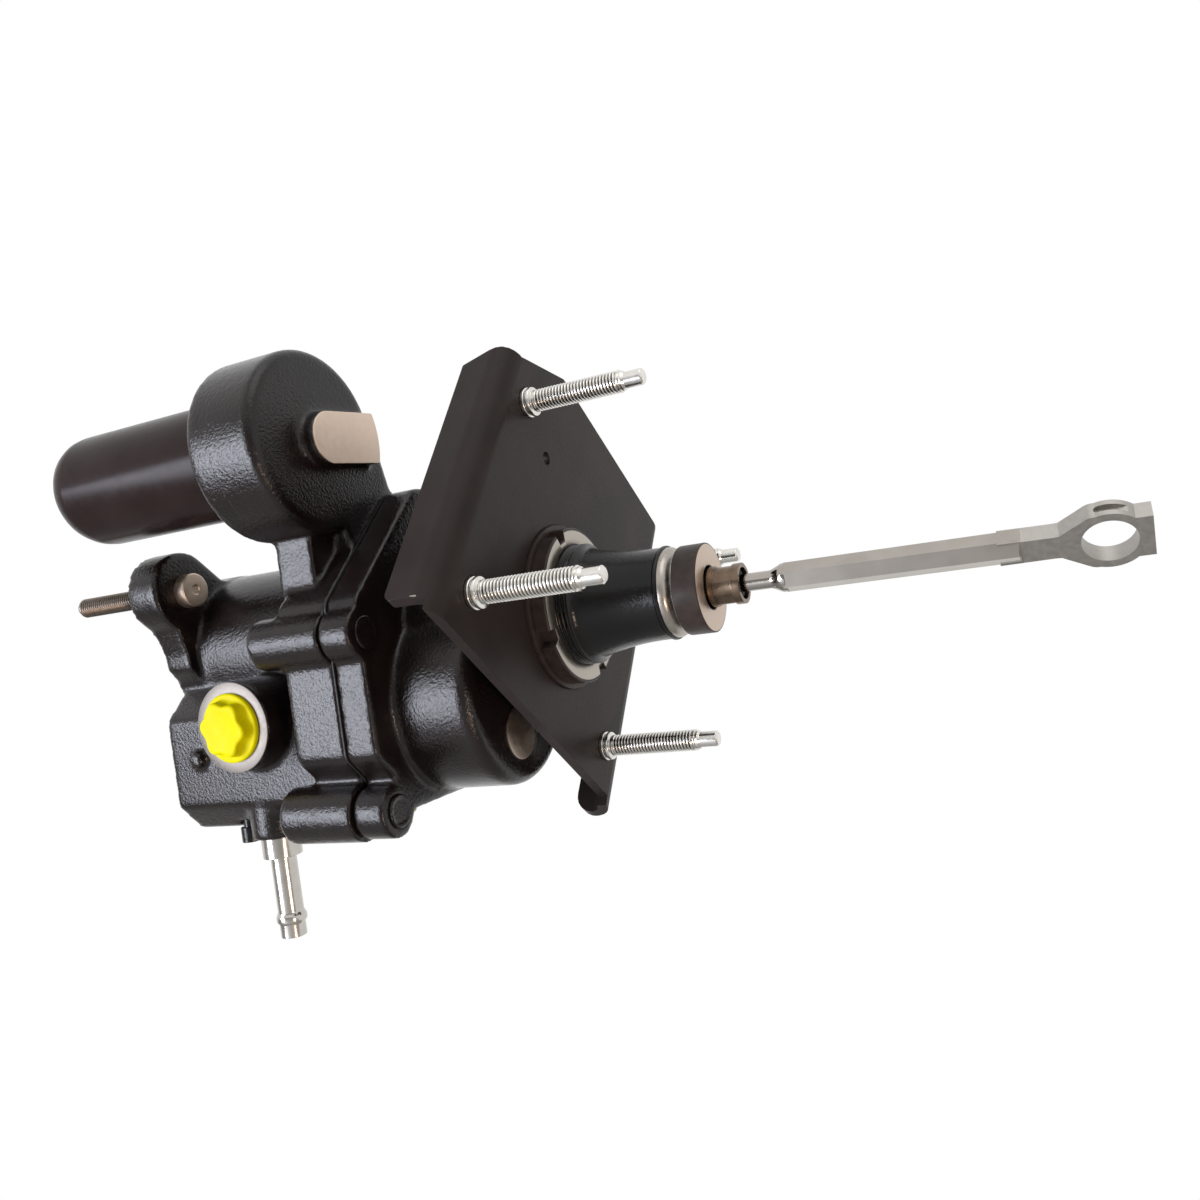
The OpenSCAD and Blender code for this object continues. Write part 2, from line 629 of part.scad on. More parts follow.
// The return fitting along its own Z, pointing down: a stub in the boss, a collar, a tube and a bead
module return_fitting() color(zinc)
    clocked() translate([return_x, -return_side, -return_boss_drop]) rotate([180, 0, 0]) difference() {
        union() {
            translate([0, 0, -14]) cylinder(h = 14, r = return_d / 2 + 1);
            cylinder(h = 8, r = return_d / 2 + 2.6);
            cylinder(h = return_len, r = return_d / 2);
            translate([0, 0, return_len - 10]) rotate_extrude()
                polygon([[2, 0], [return_d / 2, 0], [return_d / 2 + 0.9, 2], [return_d / 2 + 0.9, 3.6],
                    [return_d / 2, 5], [2, 5]]);
        }
        translate([0, 0, -20]) cylinder(h = return_len + 30, r = return_d / 2 - 1.4);
    }
module return_ring() color(dark_rubber)
    clocked() translate([return_x, -return_side, -return_boss_drop + 14]) rotate_extrude()
        translate([return_d / 2 - 0.2, 1]) circle(0.9, $fn = 20);

module drain_screw() color(cast_black)
    clocked() {
        drop_bar(drain_x, -return_side, valve_block_bottom - 7, valve_block_bottom, 2.5);
        drop_bar(drain_x, -return_side, valve_block_bottom, valve_block_bottom + 6, 3.8);
    }

module boot_band() color(zinc)
    turned([[groove_r - 1.4, band_x], [band_r, band_x], [band_r, band_x + 1.4],
        [band_r - 0.6, band_x + 2.6], [groove_r + 0.5, band_x + 3.7], [groove_r, band_x + 4.4],
        [groove_r, collar_x], [groove_r - 1.4, collar_x]]);

module rod_retainer() color(zinc)
    difference() {
        bar(pilot_x - retainer_t, pilot_x, pilot_d / 2 - 0.3);
        bar(pilot_x - retainer_t - cut, pilot_x + cut, output_d / 2 + 1.5);
    }

module return_spring() color(zinc)
    coil(pilot_x, piston_x0, bore_r - wire_d / 2 - 3.5, wire_d, 5);

module power_piston() color(bare_metal)
    clocked() difference() {
        union() {
            bar(piston_x0, piston_x1, bore_r - run_gap);
            bar(piston_x1 - eps, stem_end_x, stem_d / 2);
        }
        tube(piston_x0 + 6, piston_x0 + 10, bore_r + cut, bore_r - 3);
        bar(piston_x0 - cut, piston_x0 + 8, output_d / 2 + seat_gap);
        bar(stem_bore_x, stem_end_x + cut, input_d / 2 + 0.3);
        side_bar(stem_pin_x, 0, -stem_d, stem_d, pin_r + run_gap / 2);
    }

module piston_seal() color(dark_rubber)
    tube(piston_x0 + 6.2, piston_x0 + 9.8, bore_r - run_gap, bore_r - 2.9);

module lever_pin() color(zinc)
    clocked() side_bar(stem_pin_x, 0, -arm_side - lever_t - 1, arm_side + lever_t + 1, pin_r);

module output_rod() color(zinc) {
    bar(face_x - output_reach + output_d / 2, piston_x0 + 8, output_d / 2);
    translate([face_x - output_reach + output_d / 2, 0, 0]) sphere(output_d / 2);
    tube(piston_x0 - 2.5, piston_x0, output_d / 2 + 4, output_d / 2 - eps);
}

// The input rod runs in the cover's guide, and its front end seats in the stem
module input_rod() color(zinc)
    turned([[0, input_end_x], [input_d / 2 - 1, input_end_x], [input_d / 2, input_end_x + 1],
        [input_d / 2, snout_len - 6], [0, snout_len - 6]]);

module input_seal() color(dark_rubber)
    tube(bulkhead_x + 0.3, bulkhead_x + 4.7, input_d / 2 + 2.9, guide_r);

// The socket: a base ring, a body with two flats, an end ring, and a hollow for the ball
module input_socket() color(bronze)
    difference() {
        union() {
            bar(snout_len - 6, snout_len + 0.6, input_d / 2);
            bar(snout_len + 0.6, snout_len + 2.4, socket_ring_d / 2);
            intersection() {
                bar(snout_len + 2, socket_end_x - 2, input_d / 2);
                translate([snout_len, -input_d, -input_d / 2 + 0.4])
                    cube([socket_reach, 2 * input_d, input_d - 0.8]);
            }
            bar(socket_end_x - 3, socket_end_x, socket_ring_d / 2);
        }
        translate([ball_x, 0, 0]) sphere(ball_d / 2 + 1);
        bar(ball_x, socket_end_x + cut, ball_d / 2 + 1);
    }

// A cup between the socket and the ball's front half
module ball_seat() color(dark_rubber)
    intersection() {
        difference() {
            translate([ball_x, 0, 0]) sphere(ball_d / 2 + 0.9);
            translate([ball_x, 0, 0]) sphere(ball_d / 2 + 0.1);
        }
        bar(ball_x - 8, ball_x, ball_d);
    }

// A rubber ring that keeps the ball in and centres the rod
module rod_grommet() color(dark_rubber)
    tube(socket_end_x - 3.6, socket_end_x - 1.2, ball_d / 2 + 0.4, stub_r + run_gap);

module pedal_rod() color(zinc)
    rotate([eye_turn, 0, 0]) {
        translate([ball_x, 0, 0]) sphere(ball_d / 2);
        bar(ball_x, rod_x + eps, stub_r);
        turned([[0, rod_x], [stub_r, rod_x], [rod_w / 2 + 0.5, rod_x + 4],
            [rod_w / 2 + 0.5, rod_x + 5.5], [0, rod_x + 5.5]]);
        translate([rod_x + 5, 0, 0]) rotate([0, 90, 0])
            cylinder(h = blade_x - rod_x - 5, r = rod_w / 2 / cos(30), $fn = 6);
        difference() {
            translate([0, 0, -eye_t / 2]) linear_extrude(eye_t) {
                polygon([[blade_x - 6, -rod_w / 2], [blade_x + 10, -rod_w / 2 + 0.2],
                    [eye_x - eye_out + 0.6, -4.6], [eye_x - eye_out + 0.6, 4.6],
                    [blade_x + 10, rod_w / 2 - 0.2], [blade_x - 6, rod_w / 2]]);
                polygon(rounded([[eye_x - eye_out - 3, -4.4, 0], [eye_x - 5, -eye_out + 0.5, 4],
                    [eye_x, -eye_out + 0.5, 0], [eye_x, eye_out - 0.5, 0],
                    [eye_x - 5, eye_out - 0.5, 4], [eye_x - eye_out - 3, 4.4, 0]]));
                translate([eye_x, 0]) circle(eye_out);
                translate([eye_x, -7.5]) square([eye_out + 1.4, 15]);
            }
            translate([eye_x, 0, -eye_t]) cylinder(h = 2 * eye_t, r = eye_d / 2);
            translate([eye_x + 1.5, -eye_d / 2 - 1, 0]) rotate([90, 0, 0]) linear_extrude(eye_out)
                polygon(rounded([[-5, -1.3, 1.2], [5, -1.3, 1.2], [5, 1.3, 1.2], [-5, 1.3, 1.2]]));
        }
    }
stub_r = 3.1;
rod_x = socket_end_x + 9.6;
blade_x = eye_x - 25;
eye_out = eye_d / 2 + eye_wall;

module spool_sleeve() color(bare_metal)
    clocked() tube(sleeve_x0, sleeve_x1, sleeve_r, spool_d / 2 + run_gap, 0, -valve_drop);

// The spool has two waists for the oil and a thin tail with an eye for its pin
module spool_valve() color(zinc)
    clocked() difference() {
        turned([[0, sleeve_x0 + 7], [spool_d / 2, sleeve_x0 + 7], [spool_d / 2, sleeve_x0 + 15],
            [spool_d / 2 - 2, sleeve_x0 + 15], [spool_d / 2 - 2, sleeve_x0 + 24],
            [spool_d / 2, sleeve_x0 + 24],
            [spool_d / 2, sleeve_x0 + 32], [spool_d / 2 - 2, sleeve_x0 + 32],
            [spool_d / 2 - 2, sleeve_x0 + 40], [spool_d / 2, sleeve_x0 + 40], [spool_d / 2, sleeve_x1 - 1],
            [3, sleeve_x1 - 1], [3, lever_pivot_x - 5], [4.5, lever_pivot_x - 4.5],
            [4.5, lever_pivot_x + 4.5], [0, lever_pivot_x + 4.5]],
            0, -valve_drop);
        side_bar(lever_pivot_x, -valve_drop, -9, 9, 2 + run_gap / 2);
    }
module spool_pin() color(zinc)
    clocked() side_bar(lever_pivot_x, -valve_drop, -arm_side - lever_t - 1, arm_side + lever_t + 1, 2);
module spool_plug() color(zinc)
    clocked() difference() {
        bar(face_x + 2, face_x + 2 + plug_len, sleeve_r - seat_gap, 0, -valve_drop);
        tube(face_x + 12, face_x + 14.6, sleeve_r + cut, sleeve_r - 2, 0, -valve_drop);
        bar(face_x + 2 + plug_len - 5, face_x + 2 + plug_len + cut, 5.5, 0, -valve_drop);
    }
module spool_plug_ring() color(dark_rubber)
    clocked() tube(face_x + 12.2, face_x + 14.4, sleeve_r - 0.05, sleeve_r - 1.9, 0, -valve_drop);
module spool_spring() color(zinc)
    clocked() translate([0, 0, -valve_drop]) coil(face_x + plug_len - 3, sleeve_x0 + 7, 4.4, 1.4, 8);

// Two arms joined by a web: holes on the spool's pin below, slots on the stem's pin above
module lever() color(zinc)
    clocked() translate([lever_pivot_x, 0, -valve_drop]) rotate([0, lever_rest, 0]) {
        for (s = [-1, 1])
            translate([0, s * (arm_side + lever_t / 2) + lever_t / 2, 0]) rotate([90, 0, 0])
                linear_extrude(lever_t)
                difference() {
                    union() {
                        circle(5);
                        translate([0, valve_drop + 1]) circle(6.5);
                        polygon([[-4, 0], [4, 0], [5, valve_drop], [-5, valve_drop]]);
                    }
                    circle(2 + run_gap);
                    translate([0, valve_drop - 1]) circle(pin_r + 0.7);
                    translate([0, valve_drop + 3.6]) circle(pin_r + 0.7);
                    translate([-pin_r - 0.7, valve_drop - 1]) square([2 * pin_r + 1.4, 4.6]);
                }
        translate([-3, -arm_side - eps, 11]) cube([6, 2 * arm_side + 2 * eps, 7]);
    }

module accumulator_piston() color(bare_metal)
    clocked() difference() {
        bar(gas_piston_x - 16, gas_piston_x, can_r - can_wall - run_gap, -drum_side, drum_height);
        tube(gas_piston_x - 10, gas_piston_x - 6, can_r, can_r - can_wall - 2.6, -drum_side, drum_height);
        bar(gas_piston_x - 17, gas_piston_x - 12, can_r - can_wall - 5, -drum_side, drum_height);
    }
gas_piston_x = can_seat_x - 6;
module accumulator_seal() color(dark_rubber)
    clocked() tube(gas_piston_x - 9.8, gas_piston_x - 6.2, can_r - can_wall - run_gap,
        can_r - can_wall - 2.5, -drum_side, drum_height);

// The check valve in the drum's floor: a seat, a ball and its spring
module check_seat() color(bronze)
    clocked() tube(can_seat_x - eps, can_seat_x + 2, 4.5, 1.6, -drum_side, drum_height);
module check_ball() color(zinc)
    clocked() translate([can_seat_x + 2 + sqrt(2 * 2 - 1.6 * 1.6) + 0.05, -drum_side, drum_height])
        sphere(2);
module check_spring() color(zinc)
    clocked() translate([0, -drum_side, drum_height]) coil(can_seat_x + 5.3, drum_x1 + 2, 1.5, 0.6, 3);

// A small plunger over the power piston that lets the accumulator down, and its spring
module relief_plunger() color(zinc)
    clocked() translate([relief_x, 0, bore_r + 0.3]) cylinder(h = 8.5, r = 3);
module relief_spring() color(zinc)
    clocked() translate([relief_x, 0, bore_r + 8.8]) rotate([0, -90, 0]) coil(0, 7.7, 2.1, 0.8, 4);

housing();
cover();
gasket();
bracket();
firewall_studs();
lock_washer();
ring_nut();
cover_bolts();
flange_bolts();
accumulator_can();
can_seal();
pump_port_plug();
gear_port_plug();
port_rings();
port_seats();
return_fitting();
return_ring();
drain_screw();
boot_band();
rod_retainer();
input_seal();
spool_sleeve();
spool_plug();
spool_plug_ring();
spool_spring();
check_seat();
check_ball();
check_spring();
relief_plunger();
relief_spring();
return_spring();
power_piston();
piston_seal();
lever_pin();
output_rod();
input_rod();
input_socket();
ball_seat();
rod_grommet();
pedal_rod();
spool_valve();
spool_pin();
lever();
accumulator_piston();
accumulator_seal();
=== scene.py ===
import json
import math

import bmesh
import bpy
import numpy as np
from bpy.props import FloatProperty, FloatVectorProperty, IntProperty, PointerProperty
from bpy.types import Operator, Panel, PropertyGroup
from mathutils import Matrix, Vector


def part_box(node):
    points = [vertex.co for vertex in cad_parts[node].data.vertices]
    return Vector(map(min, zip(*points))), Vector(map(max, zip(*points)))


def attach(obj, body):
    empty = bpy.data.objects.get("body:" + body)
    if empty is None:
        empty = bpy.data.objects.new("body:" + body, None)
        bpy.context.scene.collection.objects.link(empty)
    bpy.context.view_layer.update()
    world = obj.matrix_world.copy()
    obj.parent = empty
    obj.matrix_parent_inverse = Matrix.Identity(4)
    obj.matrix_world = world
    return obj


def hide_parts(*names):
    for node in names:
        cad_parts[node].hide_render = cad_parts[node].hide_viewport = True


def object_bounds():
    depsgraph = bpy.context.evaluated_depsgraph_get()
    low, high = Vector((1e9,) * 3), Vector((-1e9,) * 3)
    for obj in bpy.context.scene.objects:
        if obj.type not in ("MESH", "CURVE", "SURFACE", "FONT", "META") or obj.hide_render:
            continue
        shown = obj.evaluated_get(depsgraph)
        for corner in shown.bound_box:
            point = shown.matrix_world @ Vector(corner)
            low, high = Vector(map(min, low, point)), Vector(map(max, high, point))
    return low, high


bl_info = {
    "name": "Brake booster finishes",
    "version": (1, 0, 0),
    "blender": (4, 5, 0),
    "location": "3D View > Sidebar > Booster",
    "description": "Dresses the packed brake booster with cast skins, threads, plates and plating",
    "category": "Object",
}

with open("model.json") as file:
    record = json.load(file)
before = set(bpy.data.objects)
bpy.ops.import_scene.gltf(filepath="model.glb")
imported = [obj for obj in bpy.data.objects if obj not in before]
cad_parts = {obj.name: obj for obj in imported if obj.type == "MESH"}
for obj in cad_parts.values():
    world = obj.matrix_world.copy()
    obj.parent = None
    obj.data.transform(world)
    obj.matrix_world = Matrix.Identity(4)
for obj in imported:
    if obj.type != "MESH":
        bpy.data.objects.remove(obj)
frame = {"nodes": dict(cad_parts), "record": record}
CAD_BOX = [list(corner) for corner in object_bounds()]
NODES = frame["nodes"]
BODY_OF = {node: body for body, nodes in frame["record"]["behaviour"]["bodies"].items() for node in nodes}
SLOT_OF = {part["node"]: part["material_slot"] for part in frame["record"]["subparts"]}

MM = 0.001
X_AXIS = np.array([1.0, 0.0, 0.0])

# Sizes that the frame doesn't give, in millimetres. Places are in the castings' own X, side and height.
DRUM_R_MM = 33.1  # The drum behind the can
DRUM_LEN_MM = 30.0
PARTING_SHARE = 0.36  # Where the parting line runs, as a share of the drum's length
PARTING_MM = (0.55, 0.2, 0.5, 0.03)  # Half width at its foot and top, and how deep both lie under the drum's radius
BOSS_OUT_MM = 6.0  # The boss on the drum's rear: its height, then half width, reach and turn of its milled face
BOSS_FACE_R_MM = 9.35
BOSS_REACH_MM = 27.4
BOSS_TURN = math.radians(3.5)
PORT_MOUTH_MM = 8.4  # The pump port and the facing round it
SPOT_R_MM = 17.0
DOME_LOW_MM = -36.0  # Only the lever dome lies lower than this
DOME_SPOT_MM = (-14.6, -43.0, 9.8)  # The dome's facing: side, height and radius
THREAD_R_MM = 22.0  # The snout: thread, neck's start under it, waist, band groove, collar and mouth
NECK_DEEP_MM = 1.8
WAIST_R_MM = 16.3
GROOVE_R_MM = 13.55
COLLAR_R_MM = 15.75
MOUTH_R_MM = 7.6
MOUTH_X_MM = 22.4
NOTCH_HALF_MM = 2.6  # The ring nut's notches
NOTCH_DEEP_MM = 3.5
NOTCH_TURN = math.radians(60)
HEAD_R_MM = 6.8  # The brake cylinder bolts: head, flange under it and shank in the flange
HEAD_LEN_MM = 5.0
FLANGE_MM = 15.0
SHANK_R_MM = 4.35
BARE_EDGE_R_MM = 0.42
PLUG_OUT_MM = 6.0
PLUG_LOBES = 6
PLUG_TURN = math.radians(10)
BLADE_LEN_MM = 36.0  # The pedal rod's forged end

# How much a cast skin may relax: machined, on the cover, on the drum and the flange, and elsewhere on the housing
MACHINED, SOFT_COVER, SOFT_DRUM, SOFT_HOUSING = 0.0, 0.3, 0.45, 0.6
FACE_BAND_MM = 0.6  # How far from a machined face the skin still counts as machined
NEAR_MM = 1.0
TINY_MM = 0.01  # Radius of the point on the axis where a turned profile starts or ends
SHARP_DEG = 35  # Edges sharper than this get a small round


# Colours and small helpers for materials

def linear(hex_colour):
    """An sRGB hex colour as linear red, green, blue and a full alpha."""
    parts = [int(hex_colour[i:i + 2], 16) / 255 for i in (1, 3, 5)]
    return [c / 12.92 if c <= 0.04045 else ((c + 0.055) / 1.055) ** 2.4 for c in parts] + [1.0]


def add(tree, kind, values=None, links=None, **settings):
    """Adds a node, sets its properties and input values, and links inputs to other nodes' outputs."""
    made = tree.nodes.new(kind)
    for key, value in settings.items():
        setattr(made, key, value)
    for key, value in (values or {}).items():
        made.inputs[key].default_value = value
    for key, output in (links or {}).items():
        tree.links.new(output, made.inputs[key])
    return made


def new_material(name):
    """An empty node material with its output, its shader and the object's own coordinates."""
    material = bpy.data.materials.new(name)
    material.use_nodes = True
    tree = material.node_tree
    tree.nodes.clear()
    output = add(tree, "ShaderNodeOutputMaterial")
    shader = add(tree, "ShaderNodeBsdfPrincipled")
    tree.links.new(shader.outputs["BSDF"], output.inputs["Surface"])
    place = add(tree, "ShaderNodeTexCoord").outputs["Object"]
    return material, tree, shader, place


def grain(tree, place, size_mm, detail=2.0, roughness=0.5):
    """Noise whose lumps are about size_mm across."""
    return add(tree, "ShaderNodeTexNoise", {"Scale": 1 / (size_mm * MM), "Detail": detail, "Roughness": roughness},
               {"Vector": place}).outputs["Fac"]


def between(tree, factor, low, high, from_low=0.35, from_high=0.65):
    """Maps a factor onto the range low to high."""
    ends = {"From Min": from_low, "From Max": from_high, "To Min": low, "To Max": high}
    return add(tree, "ShaderNodeMapRange", ends, {"Value": factor}).outputs["Result"]


def two_tone(tree, factor, dark, light):
    """Mixes two hex colours by a factor."""
    ramp = add(tree, "ShaderNodeValToRGB", links={"Fac": factor})
    for stop, place, tone in zip(ramp.color_ramp.elements, (0.35, 0.65), (dark, light)):
        stop.position = place
        stop.color = linear(tone)
    return ramp.outputs["Color"]


def relief(tree, shader, height, depth_mm):
    """Bumps the shader's normal by a height of depth_mm."""
    bump = add(tree, "ShaderNodeBump", {"Strength": 1.0, "Distance": depth_mm * MM}, {"Height": height})
    tree.links.new(bump.outputs["Normal"], shader.inputs["Normal"])


def painted(name, dark, light, cloud_mm, rough, sheen, skin_mm, depth_mm):
    """A dark paint: a two-tone cloud, a skin that drives both the gloss and the relief, and a weak clear sheen."""
    material, tree, shader, place = new_material(name)
    skin = grain(tree, place, skin_mm, 3.0, 0.6)
    tree.links.new(two_tone(tree, grain(tree, place, cloud_mm), dark, light), shader.inputs["Base Color"])
    tree.links.new(between(tree, skin, *rough), shader.inputs["Roughness"])
    shader.inputs["Specular IOR Level"].default_value = sheen
    relief(tree, shader, skin, depth_mm)
    return material


def plated(name, dark, light, rough, cloud_mm=3.0, depth_mm=0.004, groove_shade="#45423f"):
    """A metal with a faint two-tone cloud, uneven gloss and a fine relief. Painted shade darkens a thread's valleys.
    """
    material, tree, shader, place = new_material(name)
    shader.inputs["Metallic"].default_value = 1.0
    cloud = grain(tree, place, cloud_mm)
    # Painted shade: the deeper a point lies in a thread valley, the more its colour goes to the dark tone
    deep = add(tree, "ShaderNodeAttribute", attribute_name="groove_shade").outputs["Fac"]
    colour = add(tree, "ShaderNodeMix", {7: linear(groove_shade)},
                 {0: between(tree, deep, 0, 1, 0.4, 0.95), 6: two_tone(tree, cloud, dark, light)}, data_type="RGBA")
    tree.links.new(colour.outputs[2], shader.inputs["Base Color"])
    tree.links.new(between(tree, cloud, *rough), shader.inputs["Roughness"])
    relief(tree, shader, grain(tree, place, 0.5), depth_mm)
    return material


# Moulded polyethylene cap: bright yellow, glossy, and light passes into it a little
def cap_plastic():
    material, tree, shader, place = new_material("moulded_yellow_polyethylene")
    tree.links.new(two_tone(tree, grain(tree, place, 9), "#d5cb00", "#dcd100"), shader.inputs["Base Color"])
    tree.links.new(between(tree, grain(tree, place, 4), 0.34, 0.44), shader.inputs["Roughness"])
    shader.inputs["Specular IOR Level"].default_value = 0.06
    shader.inputs["Subsurface Weight"].default_value = 0.15
    shader.inputs["Subsurface Radius"].default_value = (1.0, 0.8, 0.1)
    shader.inputs["Subsurface Scale"].default_value = 1.5 * MM
    relief(tree, shader, grain(tree, place, 1.5), 0.01)
    return material


# Moulded nitrile rubber: dull black with a fine grain
def nitrile_rubber():
    material, tree, shader, place = new_material("moulded_nitrile_rubber")
    tree.links.new(two_tone(tree, grain(tree, place, 2), "#0e0e0f", "#1a1a1b"), shader.inputs["Base Color"])
    tree.links.new(between(tree, grain(tree, place, 1), 0.5, 0.7), shader.inputs["Roughness"])
    relief(tree, shader, grain(tree, place, 0.5), 0.01)
    return material


# Pale paper floor
def floor_paper():
    material, tree, shader, place = new_material("pale_floor_paper")
    tree.links.new(two_tone(tree, grain(tree, place, 60), "#efefed", "#f5f5f3"), shader.inputs["Base Color"])
    tree.links.new(between(tree, grain(tree, place, 10), 0.8, 0.9), shader.inputs["Roughness"])
    return material


FINISHES = {
    # Gloss enamel over sand-cast iron: near black, and the sand's coarse skin breaks its highlights into flecks
    "cast_enamel": lambda: painted("black_enamel_on_cast_iron", "#15100f", "#1e1716", cloud_mm=14, rough=(0.08, 0.17),
        sheen=0.35, skin_mm=1.1, depth_mm=0.24),
    # Brown-black dip coat on pressed sheet: satin, a little uneven, with a fine orange peel
    "bracket_coat": lambda: painted("satin_dip_coat_on_sheet_steel", "#292321", "#302927", cloud_mm=22,
        rough=(0.36, 0.46), sheen=0.12, skin_mm=1.2, depth_mm=0.012),
    # The same coat on a drawn can: smoother and glossier, and browner
    "can_coat": lambda: painted("gloss_dip_coat_on_drawn_steel", "#251b1a", "#2b2120", cloud_mm=18, rough=(0.2, 0.26),
        sheen=0.1, skin_mm=3.0, depth_mm=0.008),
    # The enamel over turned steel: as black as on the castings, but smooth, with long clear highlights
    "smooth_enamel": lambda: painted("black_enamel_on_turned_steel", "#0d0c0c", "#141212", cloud_mm=12,
        rough=(0.16, 0.26), sheen=0.3, skin_mm=1.1, depth_mm=0.1),
    # Phosphated steel: brown-black, satin and fine-grained
    "dark_phosphate": lambda: painted("manganese_phosphate_on_steel", "#352d2a", "#3f3632", cloud_mm=4,
        rough=(0.34, 0.46), sheen=0.2, skin_mm=1.0, depth_mm=0.01),
    # Bright zinc plate on rolled threads and turned fittings: pale and slightly warm, with painted shade in the thread
    # valleys
    "zinc": lambda: plated("bright_zinc_plate", "#dad7d1", "#e4e1dc", rough=(0.18, 0.26)),
    # Zinc plate on a forging: dull grey, because the forged skin under it is rough
    "dull_zinc": lambda: plated("dull_zinc_on_forged_steel", "#a29e99", "#aba7a1", rough=(0.4, 0.5),
        cloud_mm=2.0, depth_mm=0.012),
    # Zinc plate on a drawn tube: a little darker than on the studs, with long clear stripes of light
    "tube_zinc": lambda: plated("bright_zinc_on_drawn_tube", "#bab6af", "#c3bfb8", rough=(0.16, 0.22),
        cloud_mm=6.0, depth_mm=0.002),
    # Plain steel of the brake cylinder's bolts: dull grey-brown, with painted shade in the thread valleys
    "bolt_steel": lambda: plated("dull_bolt_steel", "#7f756c", "#897f76", rough=(0.3, 0.4),
        cloud_mm=2.0, depth_mm=0.008, groove_shade="#4c4641"),
    # The flat head of such a bolt: cut and bare, so paler and duller than the shank
    "bolt_face": lambda: plated("cut_bolt_head", "#c4b2a2", "#cdbbab", rough=(0.42, 0.5),
        cloud_mm=2.0, depth_mm=0.01),
    # Bare turned steel with a trace of oil: warm grey, with the tool's rings only just visible
    "turned_steel": lambda: plated("bare_turned_steel", "#a0978d", "#aaa197", rough=(0.28, 0.36),
        cloud_mm=1.2, depth_mm=0.008),
    # Freshly faced cast iron: pale and even, with fine cutter marks
    "faced_iron": lambda: plated("freshly_faced_iron", "#a8a198", "#b1aaa0", rough=(0.34, 0.44),
        cloud_mm=0.9, depth_mm=0.01),
    # Spot face round a port: faced iron, rougher, and painted darker because the left lamp falls full on it
    "spot_face_painted_darker": lambda: plated("faced_iron_painted_darker", "#726d67", "#7c7670", rough=(0.44, 0.54),
        cloud_mm=0.9, depth_mm=0.01),
    # Pale bronze plate, satin
    "bronze": lambda: plated("pale_bronze_plate", "#6d5d50", "#786758", rough=(0.2, 0.28)),
    # Bright plate on drawn bar: near mirror, and greyer than zinc
    "bright": lambda: plated("bright_plate_on_drawn_bar", "#a8a29b", "#afa9a2", rough=(0.1, 0.14),
        cloud_mm=9.0, depth_mm=0.0008),
    # A strip of rolled steel: satin, brown-grey
    "strip_steel": lambda: plated("rolled_strip_steel", "#a39c95", "#aea79f", rough=(0.26, 0.34),
        cloud_mm=4.0, depth_mm=0.003),
    # A face cut years of stock ago and since gone dull: brown-beige, with only a faint sheen
    "worn_facing": lambda: plated("stale_machined_face", "#c2b1a2", "#c9b9aa", rough=(0.4, 0.48),
        cloud_mm=2.5, depth_mm=0.005),
    # A face milled before the paint and kept bare by a mask: pale, warm and even
    "masked_facing": lambda: plated("masked_machined_face", "#e2cdbb", "#e8d4c3", rough=(0.4, 0.48),
        cloud_mm=2.5, depth_mm=0.005),
    "cap_plastic": cap_plastic,
    "rubber": nitrile_rubber,
    "floor": floor_paper,
}
MADE = {}
SLOT_FINISH = {
    "cast_black": "cast_enamel", "bracket_black": "bracket_coat", "can_black": "can_coat", "zinc": "zinc",
    "bare_steel": "turned_steel", "bronze": "bronze", "chrome_rod": "bright", "plug_yellow": "cap_plastic",
    "rubber": "rubber",
}
PLAIN_FINISH = {"lock_washer": "dark_phosphate", "drain_screw": "smooth_enamel", "boot_band": "strip_steel",
                "return_fitting": "tube_zinc"}


def finish(name):
    """The material of that finish, made once."""
    if name not in MADE:
        MADE[name] = FINISHES[name]()
    return MADE[name]


# Meshes from arrays

def piece(name, points, faces, finish_name, body, sharp):
    """A smooth mesh object from points in metres and a list of faces, with edges over sharp degrees kept crisp."""
    mesh = bpy.data.meshes.new(name)
    mesh.from_pydata(points.tolist(), [], faces)
    mesh.validate()
    obj = place_piece(name, mesh, finish_name, body)
    mark_sharp(mesh, sharp)
    return obj


def linked(name, data):
    """An object of that data, in the scene."""
    obj = bpy.data.objects.new(name, data)
    bpy.context.scene.collection.objects.link(obj)
    return obj


def place_piece(name, mesh, finish_name, body):
    """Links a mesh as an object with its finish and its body."""
    obj = linked(name, mesh)
    mesh.materials.clear()
    mesh.materials.append(finish(finish_name))
    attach(obj, body)
    return obj


def mark_sharp(mesh, degrees):
    """Smooth shading, with edges sharper than that angle kept crisp."""
    bm = bmesh.new()
    bm.from_mesh(mesh)
    bmesh.ops.recalc_face_normals(bm, faces=bm.faces)
    for face in bm.faces:
        face.smooth = True
    limit = math.radians(degrees)
    for edge in bm.edges:
        edge.smooth = len(edge.link_faces) == 2 and edge.calc_face_angle() < limit
    bm.to_mesh(mesh)
    bm.free()


def frame_axes(axis):
    """The unit axis, and two unit vectors square to it and to each other."""
    axis = np.asarray(axis, float) / np.linalg.norm(axis)
    helper = np.array([0.0, 0.0, 1.0]) if abs(axis[2]) < 0.9 else np.array([0.0, 1.0, 0.0])
    side = np.cross(helper, axis)
    side /= np.linalg.norm(side)
    return axis, side, np.cross(axis, side)


def spokes(axis, steps):
    """The unit axis, equal turns about it, and for each turn the unit spoke cos(turn) * side + sin(turn) * up."""
    axis, side, up = frame_axes(axis)
    turn = np.linspace(0, 2 * math.pi, steps, endpoint=False)
    return axis, turn, np.cos(turn)[:, None] * side + np.sin(turn)[:, None] * up


def turned_points(profile, centre, axis, steps):
    """Each profile point (along, radius) goes round the axis: centre + along * axis + radius * spoke."""
    axis, _, ring = spokes(axis, steps)
    profile = np.asarray(profile, float)
    return np.asarray(centre, float) + profile[:, 0, None, None] * axis + profile[:, 1, None, None] * ring


